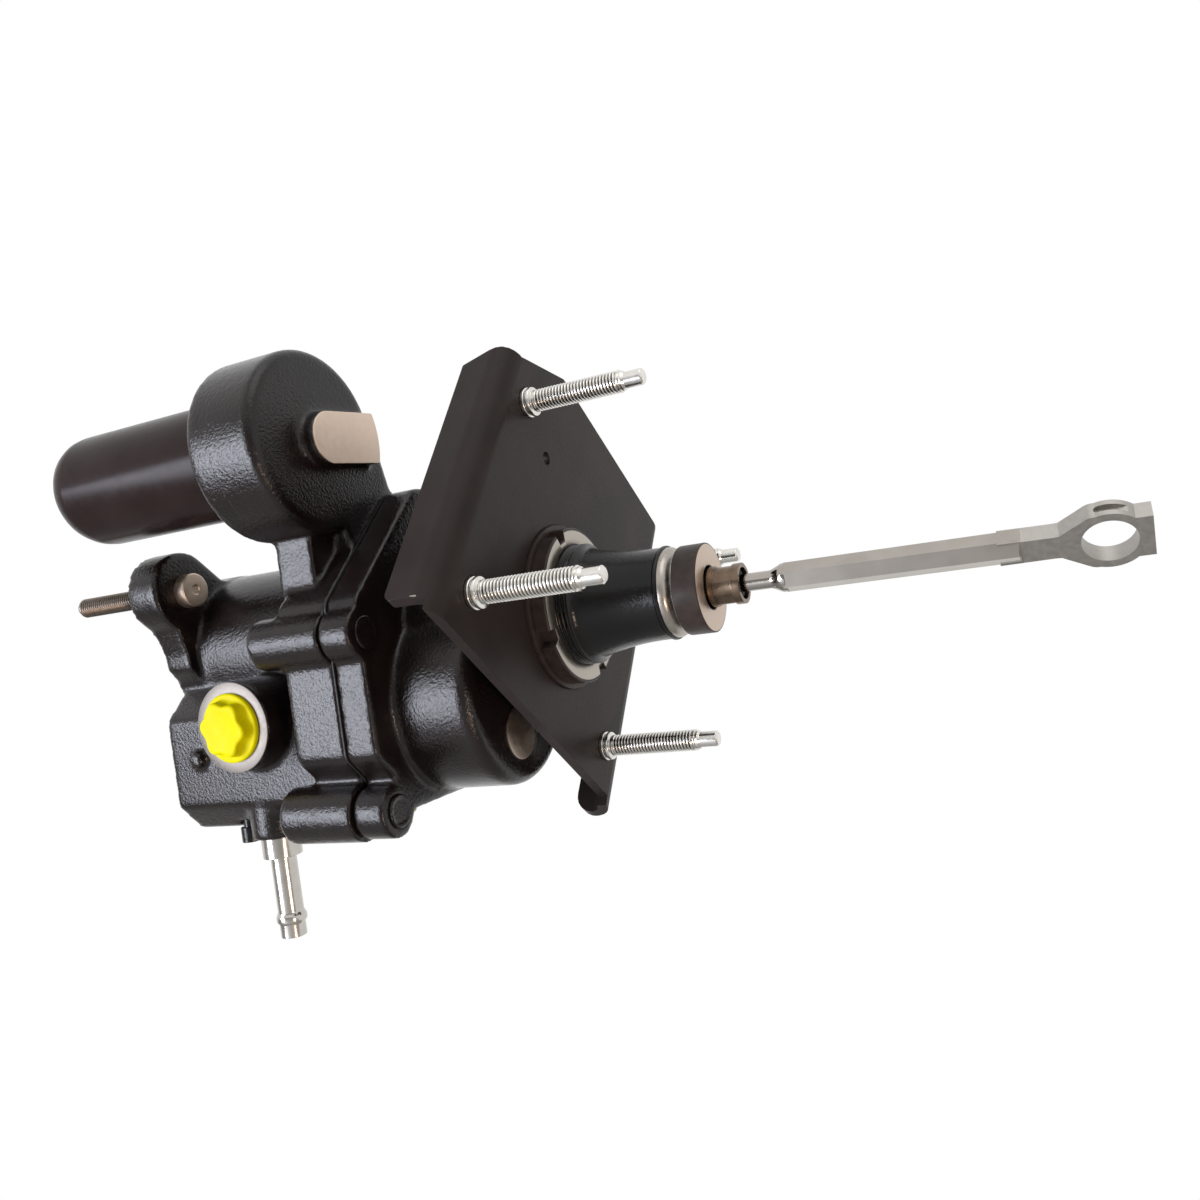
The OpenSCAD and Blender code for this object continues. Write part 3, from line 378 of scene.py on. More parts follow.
def grid_faces(rows, columns, wrap_rows):
    """Quads of a grid that closes on itself along its columns, and along its rows if asked."""
    count = rows if wrap_rows else rows - 1
    i = np.arange(count)[:, None]
    j = np.arange(columns)[None, :]
    i2 = (i + 1) % rows
    j2 = (j + 1) % columns
    quads = np.stack([i * columns + j, i2 * columns + j, i2 * columns + j2, i * columns + j2], axis=-1)
    return quads.reshape(-1, 4).tolist()


def turned(name, profile, centre, axis, finish_name, body, steps=96, loop=False, sharp=40):
    """A turned solid. The profile lists (along, radius). Flat caps close it, or it closes on itself as a ring."""
    return joined_grids(name, [turned_points(profile, centre, axis, steps)], finish_name, body, sharp, loop)


def rounded_profile(corners, steps=5):
    """A profile from corners (along, radius, round): each corner is an arc that meets both of its sides."""
    corners = [np.array(c, float) for c in corners]
    points = []
    for k, corner in enumerate(corners):
        spot, r = corner[:2], corner[2]
        if r == 0 or k in (0, len(corners) - 1):
            points.append(spot)
            continue
        to_a = corners[k - 1][:2] - spot
        to_b = corners[k + 1][:2] - spot
        length_a, length_b = np.linalg.norm(to_a), np.linalg.norm(to_b)
        to_a, to_b = to_a / length_a, to_b / length_b
        half = math.acos(float(np.clip(to_a @ to_b, -1, 1))) / 2
        reach = min(r / math.tan(half), 0.49 * length_a, 0.49 * length_b)
        start, end = spot + to_a * reach, spot + to_b * reach
        t = np.linspace(0, 1, steps + 1)[:, None]
        points.extend((1 - t) ** 2 * start + 2 * t * (1 - t) * spot + t ** 2 * end)
    return np.array(points)


def joined_grids(name, grids, finish_name, body, sharp=40, loop=False):
    """One object from several grids of the same size, each closed by a cap at both ends or on itself."""
    rows, steps = grids[0].shape[:2]
    faces = []
    for k in range(len(grids)):
        base = k * rows * steps
        faces.extend([[v + base for v in face] for face in grid_faces(rows, steps, wrap_rows=loop)])
        if not loop:
            faces.append(list(range(base, base + steps)))
            faces.append(list(range(base + (rows - 1) * steps, base + rows * steps)))
    points = np.concatenate([grid.reshape(-1, 3) for grid in grids])
    return piece(name, points, faces, finish_name, body, sharp)


def threaded_rows(start, end, radius, pitch, depth, steps, per_pitch=8):
    """The along and radius arrays of a rolled thread. With t = along / pitch - turn / (2 pi) and f = t - floor(t),
    radius = r - depth * fade * clip(1.6 * |2 f - 1| - 0.3, 0, 1). Fade rises from 0 to 1 over a pitch at each end."""
    along = np.linspace(start, end, int((end - start) / pitch * per_pitch) + 1)[:, None]
    turn = np.linspace(0, 1, steps, endpoint=False)[None, :]
    part = np.mod(along / pitch - turn, 1)
    fade = np.clip(np.minimum(along - start, end - along) / pitch, 0, 1)
    radii = radius - depth * fade * np.clip(1.6 * np.abs(2 * part - 1) - 0.3, 0, 1)
    return np.broadcast_to(along, radii.shape), radii


def threaded(name, before, stretch, after, places, axis, finish_name, body, loop=False, steps=40):
    """Bars with a thread between two plain profiles. stretch is (start, end, radius, pitch, depth) in metres."""

    def plain(profile):
        profile = np.asarray(profile, float).reshape(-1, 2)
        return [np.repeat(profile[:, k:k + 1], steps, axis=1) for k in (0, 1)]

    parts = [plain(before), threaded_rows(*stretch, steps), plain(after)]
    along = np.concatenate([part[0] for part in parts])
    radii = np.concatenate([part[1] for part in parts])
    axis, _, ring = spokes(axis, steps)
    grid = along[:, :, None] * axis + radii[:, :, None] * ring
    obj = joined_grids(name, [np.asarray(place, float) + grid for place in places], finish_name, body, 50, loop)
    start, end, radius, _, depth = stretch
    inside = (along > start) & (along < end)
    # How deep each point lies in a thread valley: the mask of the painted shade there
    groove_shade = np.where(inside, np.clip((radius - radii) / depth, 0, 1), 0).ravel()
    obj.data.attributes.new("groove_shade", "FLOAT", "POINT").data.foreach_set("value", np.tile(groove_shade, len(places)))
    return obj


def lobed(name, profile, lobes, centre, axis, finish_name, body, phase=0.0, steps=144):
    """A turned solid with soft lobes. The profile lists (along, radius, swell), and each radius is multiplied by
    1 + swell * cos(lobes * turn)."""
    profile = np.asarray(profile, float)
    axis, turn, ring = spokes(axis, steps)
    radii = profile[:, 1:2] * (1 + profile[:, 2:3] * np.cos(lobes * (turn + phase))[None, :])
    grid = np.asarray(centre, float) + profile[:, 0, None, None] * axis + radii[:, :, None] * ring
    return joined_grids(name, [grid], finish_name, body, 42)


# Copies of CAD nodes

def merged(node):
    """A CAD node's triangles as one closed mesh, with flat stretches joined into single faces."""
    bm = bmesh.new()
    bm.from_mesh(NODES[node].data)
    bmesh.ops.remove_doubles(bm, verts=bm.verts, dist=2e-6)
    bmesh.ops.dissolve_limit(bm, angle_limit=math.radians(0.5), verts=bm.verts, edges=bm.edges)
    return bm


def kept_between(bm, low_x, high_x):
    """Cuts a closed mesh by two planes square to X, keeps what lies between them, and closes the cuts."""
    for x, outer in ((low_x, False), (high_x, True)):
        if x is not None:
            bmesh.ops.bisect_plane(bm, geom=[*bm.verts, *bm.edges, *bm.faces], dist=1e-7, plane_co=(x, 0, 0),
                                   plane_no=(1, 0, 0), clear_outer=outer, clear_inner=not outer)
            bmesh.ops.holes_fill(bm, edges=[e for e in bm.edges if e.is_boundary], sides=0)
    return bm


def modified(mesh, kind, **settings):
    """The mesh that a modifier of that kind makes of a mesh."""
    holder = linked("holder", mesh)
    modifier = holder.modifiers.new("step", kind)
    for key, value in settings.items():
        setattr(modifier, key, value)
    bpy.context.view_layer.update()
    made = bpy.data.meshes.new_from_object(holder.evaluated_get(bpy.context.evaluated_depsgraph_get()))
    bpy.data.objects.remove(holder)
    return made


def settled(mesh, degrees):
    """Smooth shading that leaves flat faces flat: normals weighted by face area, with sharp edges kept crisp."""
    mark_sharp(mesh, degrees)
    return modified(mesh, "WEIGHTED_NORMAL", keep_sharp=True, weight=100)


def dressed(node, finish_name, edge_mm, segments=2, name=None, span=(None, None)):
    """A copy of a CAD node, or of its span along X, with sharp edges broken by a small round."""
    name = (name or node) + "_dressed"
    bm = kept_between(merged(node), *span)
    sharp = [e for e in bm.edges if len(e.link_faces) == 2 and e.calc_face_angle() > math.radians(SHARP_DEG)]
    if edge_mm > 0:
        bmesh.ops.bevel(bm, geom=sharp, offset=edge_mm * MM, segments=segments, profile=0.5,
                        affect="EDGES", clamp_overlap=True)
    bmesh.ops.recalc_face_normals(bm, faces=bm.faces)
    mesh = bpy.data.meshes.new(name)
    bm.to_mesh(mesh)
    bm.free()
    obj = place_piece(name, settled(mesh, 40), finish_name, BODY_OF[node])
    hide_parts(node)


def neighbour_mean(points, edges):
    """The mean of each point's neighbours along the edges."""
    total = np.zeros_like(points)
    count = np.zeros(len(points))
    for a, b in ((0, 1), (1, 0)):
        np.add.at(total, edges[:, a], points[edges[:, b]])
        np.add.at(count, edges[:, a], 1)
    return total / np.maximum(count, 1)[:, None]


def cast_skin(node, freedom, name, span=(None, None)):
    """A CAD node remade in small cells and relaxed, which rounds its edges and fills its corners like a casting's.
    freedom gives each point from 0, which stays where it was machined, to 1, which is left as cast."""
    bm = kept_between(merged(node), *span)
    mesh = bpy.data.meshes.new(name)
    bm.to_mesh(mesh)
    bm.free()
    skin = modified(mesh, "REMESH", mode="VOXEL", voxel_size=sizes().cast_cell * MM)
    points = np.empty(len(skin.vertices) * 3)
    skin.vertices.foreach_get("co", points)
    points = points.reshape(-1, 3)
    edges = np.empty(len(skin.edges) * 2, int)
    skin.edges.foreach_get("vertices", edges)
    edges = edges.reshape(-1, 2)
    weight = freedom(points)[:, None]
    for _ in range(sizes().cast_rounds):
        points = points + 0.5 * weight * (neighbour_mean(points, edges) - points)
    skin.vertices.foreach_set("co", points.ravel())
    skin.polygons.foreach_set("use_smooth", np.full(len(skin.polygons), True))
    skin.update()
    skin.name = name
    obj = place_piece(name, skin, "cast_enamel", BODY_OF[node])
    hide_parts(node)


class BoosterSizes(PropertyGroup):
    """Sizes and colours of the finishes."""
    clocking: FloatProperty(name="Clocking", description="Turn of the castings about the main bore",
                            default=math.radians(39), subtype="ANGLE")
    cast_cell: FloatProperty(name="Cast cell", description="Cell size of the cast skins, in millimetres",
                             default=1.15, min=0.6, max=3)
    cast_rounds: IntProperty(name="Cast rounds", description="How far the castings' edges are rounded",
                             default=7, min=0, max=30)
    thread_pitch: FloatProperty(name="Thread pitch", description="Pitch of the studs' thread, in millimetres",
                                default=1.25, min=0.5, max=3)
    thread_depth: FloatProperty(name="Thread depth", description="Depth of the studs' thread, in millimetres",
                                default=0.7, min=0.2, max=1.5)
    flange_stud_r: FloatProperty(name="Flange stud", description="Radius of the brake cylinder studs, in millimetres",
                                 default=4.0, min=2, max=6)
    cover_bolt_r: FloatProperty(name="Cover bolt", description="Radius of the cover's bolts, in millimetres",
                                default=4.5, min=2, max=6)
    edge_round: FloatProperty(name="Edge round", description="Round on machined edges, in millimetres",
                              default=0.25, min=0.05, max=1)
    floor_drop: FloatProperty(name="Floor drop", description="Depth of the floor below the main bore",
                              default=0.85, unit="LENGTH")
    backdrop: FloatVectorProperty(name="Backdrop", description="Colour behind the object",
                                  default=(1.0, 1.0, 1.0), size=3, subtype="COLOR")


def sizes():
    """The scene's finish sizes."""
    return bpy.context.scene.booster_sizes


def cast_direction(side, height):
    """A direction of the castings, as side and height, in the row frame."""
    c, s = math.cos(sizes().clocking), math.sin(sizes().clocking)
    return np.array([0.0, side * c - height * s, side * s + height * c])


def to_casting(points):
    """Row frame points as the castings' own X, side and height."""
    side, height = cast_direction(1, 0), cast_direction(0, 1)
    return np.stack([points[:, 0], points @ side, points @ height], axis=1)


# Places on the castings

def on_casting(x, side, height):
    """A point given as X, side and height of the castings, in the row frame."""
    return x * X_AXIS + side * cast_direction(1, 0) + height * cast_direction(0, 1)


def half_width(node):
    """Half of a node's width along Y, which is its radius if it is round."""
    low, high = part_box(node)
    return (high[1] - low[1]) / 2


def can_axis():
    """Side and height of the can's axis, which is the middle of its box."""
    low, high = np.array(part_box("accumulator_can"))
    return to_casting((low + high)[None] / 2)[0, 1:]


def drum_span():
    """The drum's span along X and its radius, from the can's seal and the casting's seam."""
    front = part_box("can_seal")[1][0] + 0.1 * MM
    return (front, front + DRUM_LEN_MM * MM), DRUM_R_MM * MM


def port_place(node):
    """X, side and height of the port face under a plug, from the port's mount."""
    mount = next(m for m in frame["record"]["mounts"] if m["name"] == node.replace("_plug", ""))
    return to_casting(np.array([mount["pos_m"]]))[0]


def solid_centres(node):
    """Y and Z of the middle of each separate solid of a node."""
    bm = merged(node)
    seen, centres = set(), []
    for seed in bm.verts:
        if seed in seen:
            continue
        group, edge = {seed}, [seed]
        while edge:
            for link in edge.pop().link_edges:
                for vert in link.verts:
                    if vert not in group:
                        group.add(vert)
                        edge.append(vert)
        seen |= group
        spots = np.array([v.co for v in group])
        centres.append(tuple((spots.min(axis=0) + spots.max(axis=0))[1:] / 2))
    bm.free()
    return centres


def facing(name, centre, axis, inner_mm, outer_mm, proud_mm, finish_name):
    """A machined face: a thin turned disc or ring with a small chamfer, sunk a little into the casting."""
    top, deep, chamfer, inset = proud_mm, -0.4, 0.12, 0.25
    rows = [(deep, max(inner_mm, TINY_MM)), (deep, outer_mm), (top - chamfer, outer_mm), (top, outer_mm - inset)]
    if inner_mm > 0:
        rows += [(top, inner_mm + inset), (top - chamfer, inner_mm)]
    else:
        rows += [(top, TINY_MM)]
    return turned(name, np.array(rows) * MM, centre, axis, finish_name, "booster", steps=128,
                  loop=inner_mm > 0, sharp=30)


def boss_face(drum_axis, back_x):
    """The milled face on the drum's boss: a round end of radius r about the drum's axis, two straight sides r away
    from it, and an end cut by a circle of radius R. A ray from the middle point (m, 0) at angle t reaches the edge at
    the least of r / |sin t| and -m cos t + sqrt(q^2 - (m sin t)^2), where q is R ahead of the axis and r behind it."""
    r, reach, middle = BOSS_FACE_R_MM, BOSS_REACH_MM, BOSS_REACH_MM / 3
    turn = np.linspace(0, 2 * math.pi, 240, endpoint=False)
    across = np.abs(np.sin(turn))
    sides = r / np.maximum(across, 1e-6)
    cut_end = -middle * np.cos(turn) + np.sqrt(reach ** 2 - (middle * across) ** 2)
    round_end = -middle * np.cos(turn) + np.sqrt(np.maximum(r ** 2 - (middle * across) ** 2, 0))
    behind = middle + sides * np.cos(turn) < 0
    edge = np.minimum(np.where(behind, round_end, sides), cut_end)
    along_side = math.cos(BOSS_TURN) * cast_direction(1, 0) + math.sin(BOSS_TURN) * cast_direction(0, 1)
    along_up = math.cos(BOSS_TURN) * cast_direction(0, 1) - math.sin(BOSS_TURN) * cast_direction(1, 0)
    grid = []
    # Rings from the foot up over a small chamfer and in to the middle: height, share of the edge's distance, inset
    for proud, share, inset in ((-0.4, 1, 0), (0.12, 1, 0), (0.22, 1, 0.15), (0.22, 0.6, 0), (0.22, 0.01, 0)):
        far = (edge * share - inset) * MM
        across_mm, up_mm = middle * MM + far * np.cos(turn), far * np.sin(turn)
        grid.append(drum_axis + (back_x + proud * MM) * X_AXIS + across_mm[:, None] * along_side
                    + up_mm[:, None] * along_up)
    return joined_grids("drum_boss_facing", [np.array(grid)], "masked_facing", "booster", 25)


class BOOSTER_OT_housing(Operator):
    """Casts the housing's skin, with its machined faces and the drum's parting line"""
    bl_idname = "booster.housing"
    bl_label = "Housing casting"

    def execute(self, context):
        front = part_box("housing")[0][0]
        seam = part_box("gasket")[0][0]
        bore_r = half_width("rod_retainer")
        flange_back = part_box("flange_bolts")[1][0] - HEAD_LEN_MM * MM
        drum_x, drum_r = drum_span()
        drum_axis = on_casting(0, *can_axis())

        def freedom(points):
            x, near = points[:, 0], NEAR_MM * MM
            near_seam = np.abs(x - seam) < FACE_BAND_MM * MM
            near_face = x < front + FACE_BAND_MM * MM
            in_bore = np.hypot(points[:, 1], points[:, 2]) < bore_r + near
            on_flange = x < flange_back + near
            on_drum = (np.hypot(*(points - drum_axis)[:, 1:].T) < drum_r + near) & (x > drum_x[0] - near)
            soft = np.where(on_flange | on_drum, SOFT_DRUM, SOFT_HOUSING)
            return np.where(near_seam | near_face | in_bore, MACHINED, soft)

        cast_skin("housing", freedom, "housing_casting")

        # The port's facing is painted darker than the ring nut's facing, which lies in shade
        facing("pump_port_facing", on_casting(*port_place("pump_port_plug")), cast_direction(-1, 0),
               PORT_MOUTH_MM, SPOT_R_MM, proud_mm=0.25, finish_name="spot_face_painted_darker")
        parting = drum_x[0] + PARTING_SHARE * (drum_x[1] - drum_x[0])
        foot_half, top_half, foot_deep, top_deep = PARTING_MM
        top, foot = DRUM_R_MM - top_deep, DRUM_R_MM - foot_deep
        ridge = [(-foot_half, foot), (-top_half, top), (top_half, top), (foot_half, foot)]
        turned("drum_parting_line", np.array(ridge) * MM, drum_axis + parting * X_AXIS, X_AXIS,
               "cast_enamel", "booster", steps=160, loop=True, sharp=80)
        boss_face(drum_axis, drum_x[1] + BOSS_OUT_MM * MM)
        return {"FINISHED"}


class BOOSTER_OT_cover(Operator):
    """Casts the cover's skin, and turns its snout with thread, band seat and collar"""
    bl_idname = "booster.cover"
    bl_label = "Cover casting"

    def execute(self, context):
        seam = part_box("gasket")[1][0]
        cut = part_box("lock_washer")[0][0] - 2 * MM

        def freedom(points):
            return np.where(np.abs(points[:, 0] - seam) < FACE_BAND_MM * MM, MACHINED, SOFT_COVER)

        cast_skin("cover", freedom, "cover_casting", span=(None, cut))
        self.snout(cut)
        places = to_casting(np.array([vertex.co for vertex in NODES["cover"].data.vertices]))
        dome_back = places[places[:, 2] < DOME_LOW_MM * MM, 0].max()
        side, height, radius = DOME_SPOT_MM
        facing("dome_facing", on_casting(dome_back, side * MM, height * MM), X_AXIS, 0, radius, 0.2, "worn_facing")
        return {"FINISHED"}

    def snout(self, start):
        """The snout: a thread beside the nut, a neck that narrows smoothly, the band's seat and the collar."""
        nut_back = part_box("ring_nut")[1][0] / MM
        band_front, band_back = (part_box("boot_band")[k][0] / MM for k in (0, 1))
        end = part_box("cover")[1][0] / MM
        hole_r = half_width("input_rod") / MM + 0.05
        # The neck falls to the waist as (1 - t) ** 2.2
        neck = np.linspace(0, 1, 15)[:, None]
        neck_x = nut_back + 6 + neck * (band_front - nut_back - 7.5)
        neck_r = WAIST_R_MM + (THREAD_R_MM - NECK_DEEP_MM - WAIST_R_MM) * (1 - neck) ** 2.2
        under_band = GROOVE_R_MM - 1.4
        lip = rounded_profile([(band_front - 1.5, WAIST_R_MM, 0), (band_front - 0.9, WAIST_R_MM + 0.5, 0.4),
                               (band_front, WAIST_R_MM + 0.4, 0.4), (band_front, under_band, 0)])
        collar = rounded_profile([(band_back, under_band, 0), (band_back, COLLAR_R_MM, 0.5),
                                  (end, COLLAR_R_MM, 0.4), (end, MOUTH_R_MM, 0.5), (MOUTH_X_MM, MOUTH_R_MM, 0),
                                  (MOUTH_X_MM, hole_r, 0), (start / MM, hole_r, 0), (start / MM, THREAD_R_MM, 0)])
        after = np.concatenate([np.hstack([neck_x, neck_r]), lip, collar]) * MM
        before = [(start + 0.2 * MM, THREAD_R_MM * MM)]
        pitch, depth = 1.5, 0.75
        stretch = np.array([nut_back - 1, nut_back + 5, THREAD_R_MM, pitch, depth]) * MM
        obj = threaded("cover_snout", before, stretch, after, [(0, 0, 0)], X_AXIS, "smooth_enamel", "booster",
                       loop=True, steps=120)
        obj.data.materials.append(finish("dark_phosphate"))
        on_collar = [face.center.x > (band_back + 0.05) * MM for face in obj.data.polygons]
        obj.data.polygons.foreach_set("material_index", on_collar)
        facing("collar_facing", (end * MM, 0, 0), X_AXIS, MOUTH_R_MM + 0.4, COLLAR_R_MM - 0.5, 0.12, "worn_facing")


class BOOSTER_OT_bracket(Operator):
    """Dresses the bracket, wears its near edge bare and turns the ring nut"""
    bl_idname = "booster.bracket"
    bl_label = "Bracket"

    def execute(self, context):
        dressed("bracket", "bracket_coat", edge_mm=0.35, segments=3)
        self.bare_edge()
        self.ring_nut()
        return {"FINISHED"}

    def bare_edge(self):
        """The lower edge of the near flange, worn bare: a thin bar of radius r along the edge, with round ends."""
        front, side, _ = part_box("bracket")[0]
        near = [vertex.co for vertex in NODES["bracket"].data.vertices if vertex.co.y < side + NEAR_MM * MM]
        low = min(point.z for point in near)
        start = front + 2 * MM
        end = max(point.x for point in near if point.z < low + 0.5 * MM)
        length, r = end - start, BARE_EDGE_R_MM * MM
        tip = [(0, 0.02 * r), (0.3 * r, 0.7 * r), (r, r)]
        profile = tip + [(length - along, radius) for along, radius in reversed(tip)]
        turned("bare_flange_edge", profile, (start, side + r, low + r), X_AXIS, "bright", "booster",
               steps=24)

    def ring_nut(self):
        """Rings whose outer radius drops to the notch floor where |turn - notch| is under the notch's half angle."""
        (x0, _, _), (x1, y1, _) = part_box("ring_nut")
        steps = 288
        turn = np.linspace(0, 2 * math.pi, steps, endpoint=False)
        away = np.abs(np.mod(turn - NOTCH_TURN + math.pi / 4, math.pi / 2) - math.pi / 4)
        notch = np.clip((away * y1 - NOTCH_HALF_MM * MM) / (0.5 * MM), 0, 1)
        ring = np.stack([np.zeros(steps), np.cos(turn), np.sin(turn)], axis=1)

        def notched(name, rows, finish_name):
            grid = np.stack([along * X_AXIS + (inner + (outer - inner) * notch)[:, None] * ring
                             for along, inner, outer in rows])
            return joined_grids(name, [grid], finish_name, "booster", 40, loop=True)

        # Rows are along, radius in a notch and radius between notches; e is the edges' chamfer
        floor = y1 - NOTCH_DEEP_MM * MM
        bore = THREAD_R_MM * MM + 0.1 * MM
        e = 0.35 * MM
        rows = [(x0, bore, bore), (x0, floor, y1 - e), (x0 + e, floor, y1), (x1 - e, floor, y1),
                (x1, floor, y1 - e), (x1, bore, bore)]
        body = notched("ring_nut_body", rows, "dark_phosphate")
        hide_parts("ring_nut")
        inner = bore + 0.5 * MM
        top = x1 + 0.12 * MM
        rows = [(x1 - e, inner, inner), (x1 - e, floor - 2 * e, y1 - 3 * e), (x1, floor - 2 * e, y1 - 3 * e),
                (top, floor - 3 * e, y1 - 3.6 * e), (top, inner + e / 2, inner + e / 2), (x1, inner, inner)]
        notched("ring_nut_facing", rows, "faced_iron")


class BOOSTER_OT_fasteners(Operator):
    """Turns the studs and bolts with rolled threads"""
    bl_idname = "booster.fasteners"
    bl_label = "Studs and bolts"

    def execute(self, context):
        self.firewall_studs()
        self.flange_bolts()
        self.cover_bolts()
        return {"FINISHED"}

    def firewall_studs(self):
        """Each stud: a head ahead of the bracket, two thin collars behind it, the thread and a dog point."""
        pattern = next(m for m in frame["record"]["mounts"] if m["name"] == "firewall_studs")
        _, y, z = pattern["pos_m"]
        dims = pattern["dims"]
        dy, dz, r = dims["spacing_x_mm"] / 2 * MM, dims["spacing_y_mm"] / 2 * MM, dims["stud_r_mm"]
        head, tip = (corner[0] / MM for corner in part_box("firewall_studs"))
        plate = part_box("lock_washer")[0][0] / MM
        head_r, neck_r, collar_r, gap_r, dog_r = r + 3, r + 1, r + 1.5, r + 0.8, r - 1.1
        under_head = head + 2.5
        before = rounded_profile([(head, TINY_MM, 0), (head, head_r, 0.4), (under_head, head_r, 0.3),
                                  (under_head, neck_r, 0), (plate, neck_r, 0), (plate, collar_r, 0),
                                  (1.3, collar_r, 0.4), (1.6, gap_r, 0.1), (2.0, gap_r, 0.1), (2.2, r + 1.4, 0.3),
                                  (3.3, r + 1.2, 0.3), (3.7, r, 0.1), (4.3, r, 0)])
        after = rounded_profile([(tip - 8.6, r - 0.6, 0), (tip - 7.6, r - 0.5, 0.3), (tip - 6.8, dog_r, 0.3),
                                 (tip - 0.6, dog_r, 0.3), (tip, r - 1.7, 0.2), (tip, TINY_MM, 0)])
        stretch = np.array([4.4, tip - 8.7, r, sizes().thread_pitch, sizes().thread_depth]) * MM
        places = [(0, y + a * dy, z + b * dz) for a in (-1, 1) for b in (-1, 1)]
        obj = threaded("threaded_firewall_studs", before * MM, stretch, after * MM, places, X_AXIS, "zinc",
                       "booster")
        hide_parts("firewall_studs")

    def flange_bolts(self):
        """Each bolt: a round head with a centre dimple behind the ear, and the thread ahead of it."""
        tip, back = (corner[0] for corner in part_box("flange_bolts"))
        spread = half_width("flange_bolts") - HEAD_R_MM * MM
        under_head = back - HEAD_LEN_MM * MM
        r = sizes().flange_stud_r
        # Along counts from the head's face towards the brake cylinder
        shank_end = HEAD_LEN_MM + FLANGE_MM
        before = rounded_profile([(0.5, TINY_MM, 0), (0.5, 1.6, 0.2), (0, 2.1, 0.2), (0, HEAD_R_MM - 0.6, 0.2),
                                  (0.5, HEAD_R_MM, 0.3), (HEAD_LEN_MM, HEAD_R_MM, 0), (HEAD_LEN_MM, SHANK_R_MM, 0),
                                  (shank_end - 0.1, SHANK_R_MM, 0), (shank_end, r, 0)])
        length = (back - tip) / MM
        after = rounded_profile([(length - 2.2, r - 0.7, 0), (length - 0.4, r - 1.2, 0.3), (length, r - 1.7, 0.2),
                                 (length, TINY_MM, 0)])
        stretch = np.array([shank_end + 0.1, length - 2.3, r, sizes().thread_pitch, sizes().thread_depth]) * MM
        places = [(back, s * spread, 0) for s in (-1, 1)]
        obj = threaded("threaded_flange_bolts", before * MM, stretch, after * MM, places, -X_AXIS, "bolt_steel",
                       "booster")
        obj.data.materials.append(finish("bolt_face"))
        on_head = [face.center.x > under_head + 0.1 * MM for face in obj.data.polygons]
        obj.data.polygons.foreach_set("material_index", on_head)
        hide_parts("flange_bolts")

    def cover_bolts(self):
        """The ends of five bolts: each a low disc with a raised rim, r(x) from the profile below."""
        tip, end = (corner[0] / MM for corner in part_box("cover_bolts"))
        r = sizes().cover_bolt_r
        rim = r + 1.4
        profile = rounded_profile([(tip, TINY_MM, 0), (tip, r, 0), (end - 0.6, r, 0), (end - 0.6, rim, 0),
                                   (end - 0.1, rim, 0.3), (end + 0.25, r + 0.9, 0.3), (end + 0.15, r + 0.2, 0.3),
                                   (end - 0.15, r - 0.6, 0.3), (end - 0.15, TINY_MM, 0)]) * MM
        grids = [turned_points(profile, (0, y, z), X_AXIS, 64) for y, z in solid_centres("cover_bolts")]
        obj = joined_grids("ringed_cover_bolts", grids, "cast_enamel", "booster")
        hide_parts("cover_bolts")


class BOOSTER_OT_ports(Operator):
    """Moulds the two shipping plugs"""
    bl_idname = "booster.ports"
    bl_label = "Port plugs"

    def execute(self, context):
        for node, axis in (("pump_port_plug", cast_direction(-1, 0)), ("gear_port_plug", cast_direction(0, -1))):
            self.plug(node, axis)
        return {"FINISHED"}

    def plug(self, node, axis):
        """A stub, a flange and a six-lobed grip whose top is dished towards its middle. Rows are along from the port
        face, radius and swell of the lobes."""
        out = PLUG_OUT_MM
        rows = [(-9, TINY_MM, 0), (-9, 6.9, 0), (-8.4, 7.6, 0), (-0.6, 8.1, 0), (0, 8.1, 0), (0, 12.6, 0),
                (0.35, 13, 0), (1.4, 13, 0), (1.8, 12.7, 0), (2.0, 12.1, 0), (1.9, 11.4, 0.01), (2.1, 10.6, 0.05),
                (2.6, 10.1, 0.085), (4.0, 9.9, 0.09), (out - 0.9, 9.8, 0.09), (out - 0.35, 9.55, 0.085),
                (out - 0.05, 9.0, 0.08), (out, 8.2, 0.07), (out - 0.25, 6.5, 0.04), (out - 0.5, 4.0, 0.02),
                (out - 0.6, TINY_MM, 0)]
        profile = np.array(rows) * (MM, MM, 1)
        obj = lobed(node + "_moulded", profile, PLUG_LOBES, on_casting(*port_place(node)), axis, "cap_plastic",
                    BODY_OF[node], phase=PLUG_TURN)
        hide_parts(node)


class BOOSTER_OT_rod(Operator):
    """Draws the pedal rod's bright bar and forges its eye"""
    bl_idname = "booster.rod"
    bl_label = "Pedal rod"

    def execute(self, context):
        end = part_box("pedal_rod")[1][0]
        blade = end - BLADE_LEN_MM * MM
        dressed("pedal_rod", "dull_zinc", edge_mm=0.3, name="pedal_eye", span=(blade, None))
        dressed("pedal_rod", "bright", edge_mm=0.35, segments=3, name="pedal_bar", span=(None, blade))
        return {"FINISHED"}


class BOOSTER_OT_can(Operator):
    """Dresses the drawn accumulator can, whose rounds the CAD has already"""
    bl_idname = "booster.can"
    bl_label = "Accumulator can"

    def execute(self, context):
        dressed("accumulator_can", "can_coat", edge_mm=0.0)
        return {"FINISHED"}


class BOOSTER_OT_plain_nodes(Operator):
    """Dresses every CAD node that has no piece of its own"""
    bl_idname = "booster.plain_nodes"
    bl_label = "Other pieces"

    def execute(self, context):
        for node, obj in NODES.items():
            if not obj.hide_render:
                edge = 0.0 if node.endswith("spring") else sizes().edge_round
                dressed(node, PLAIN_FINISH.get(node, SLOT_FINISH[SLOT_OF[node]]), edge)
        return {"FINISHED"}


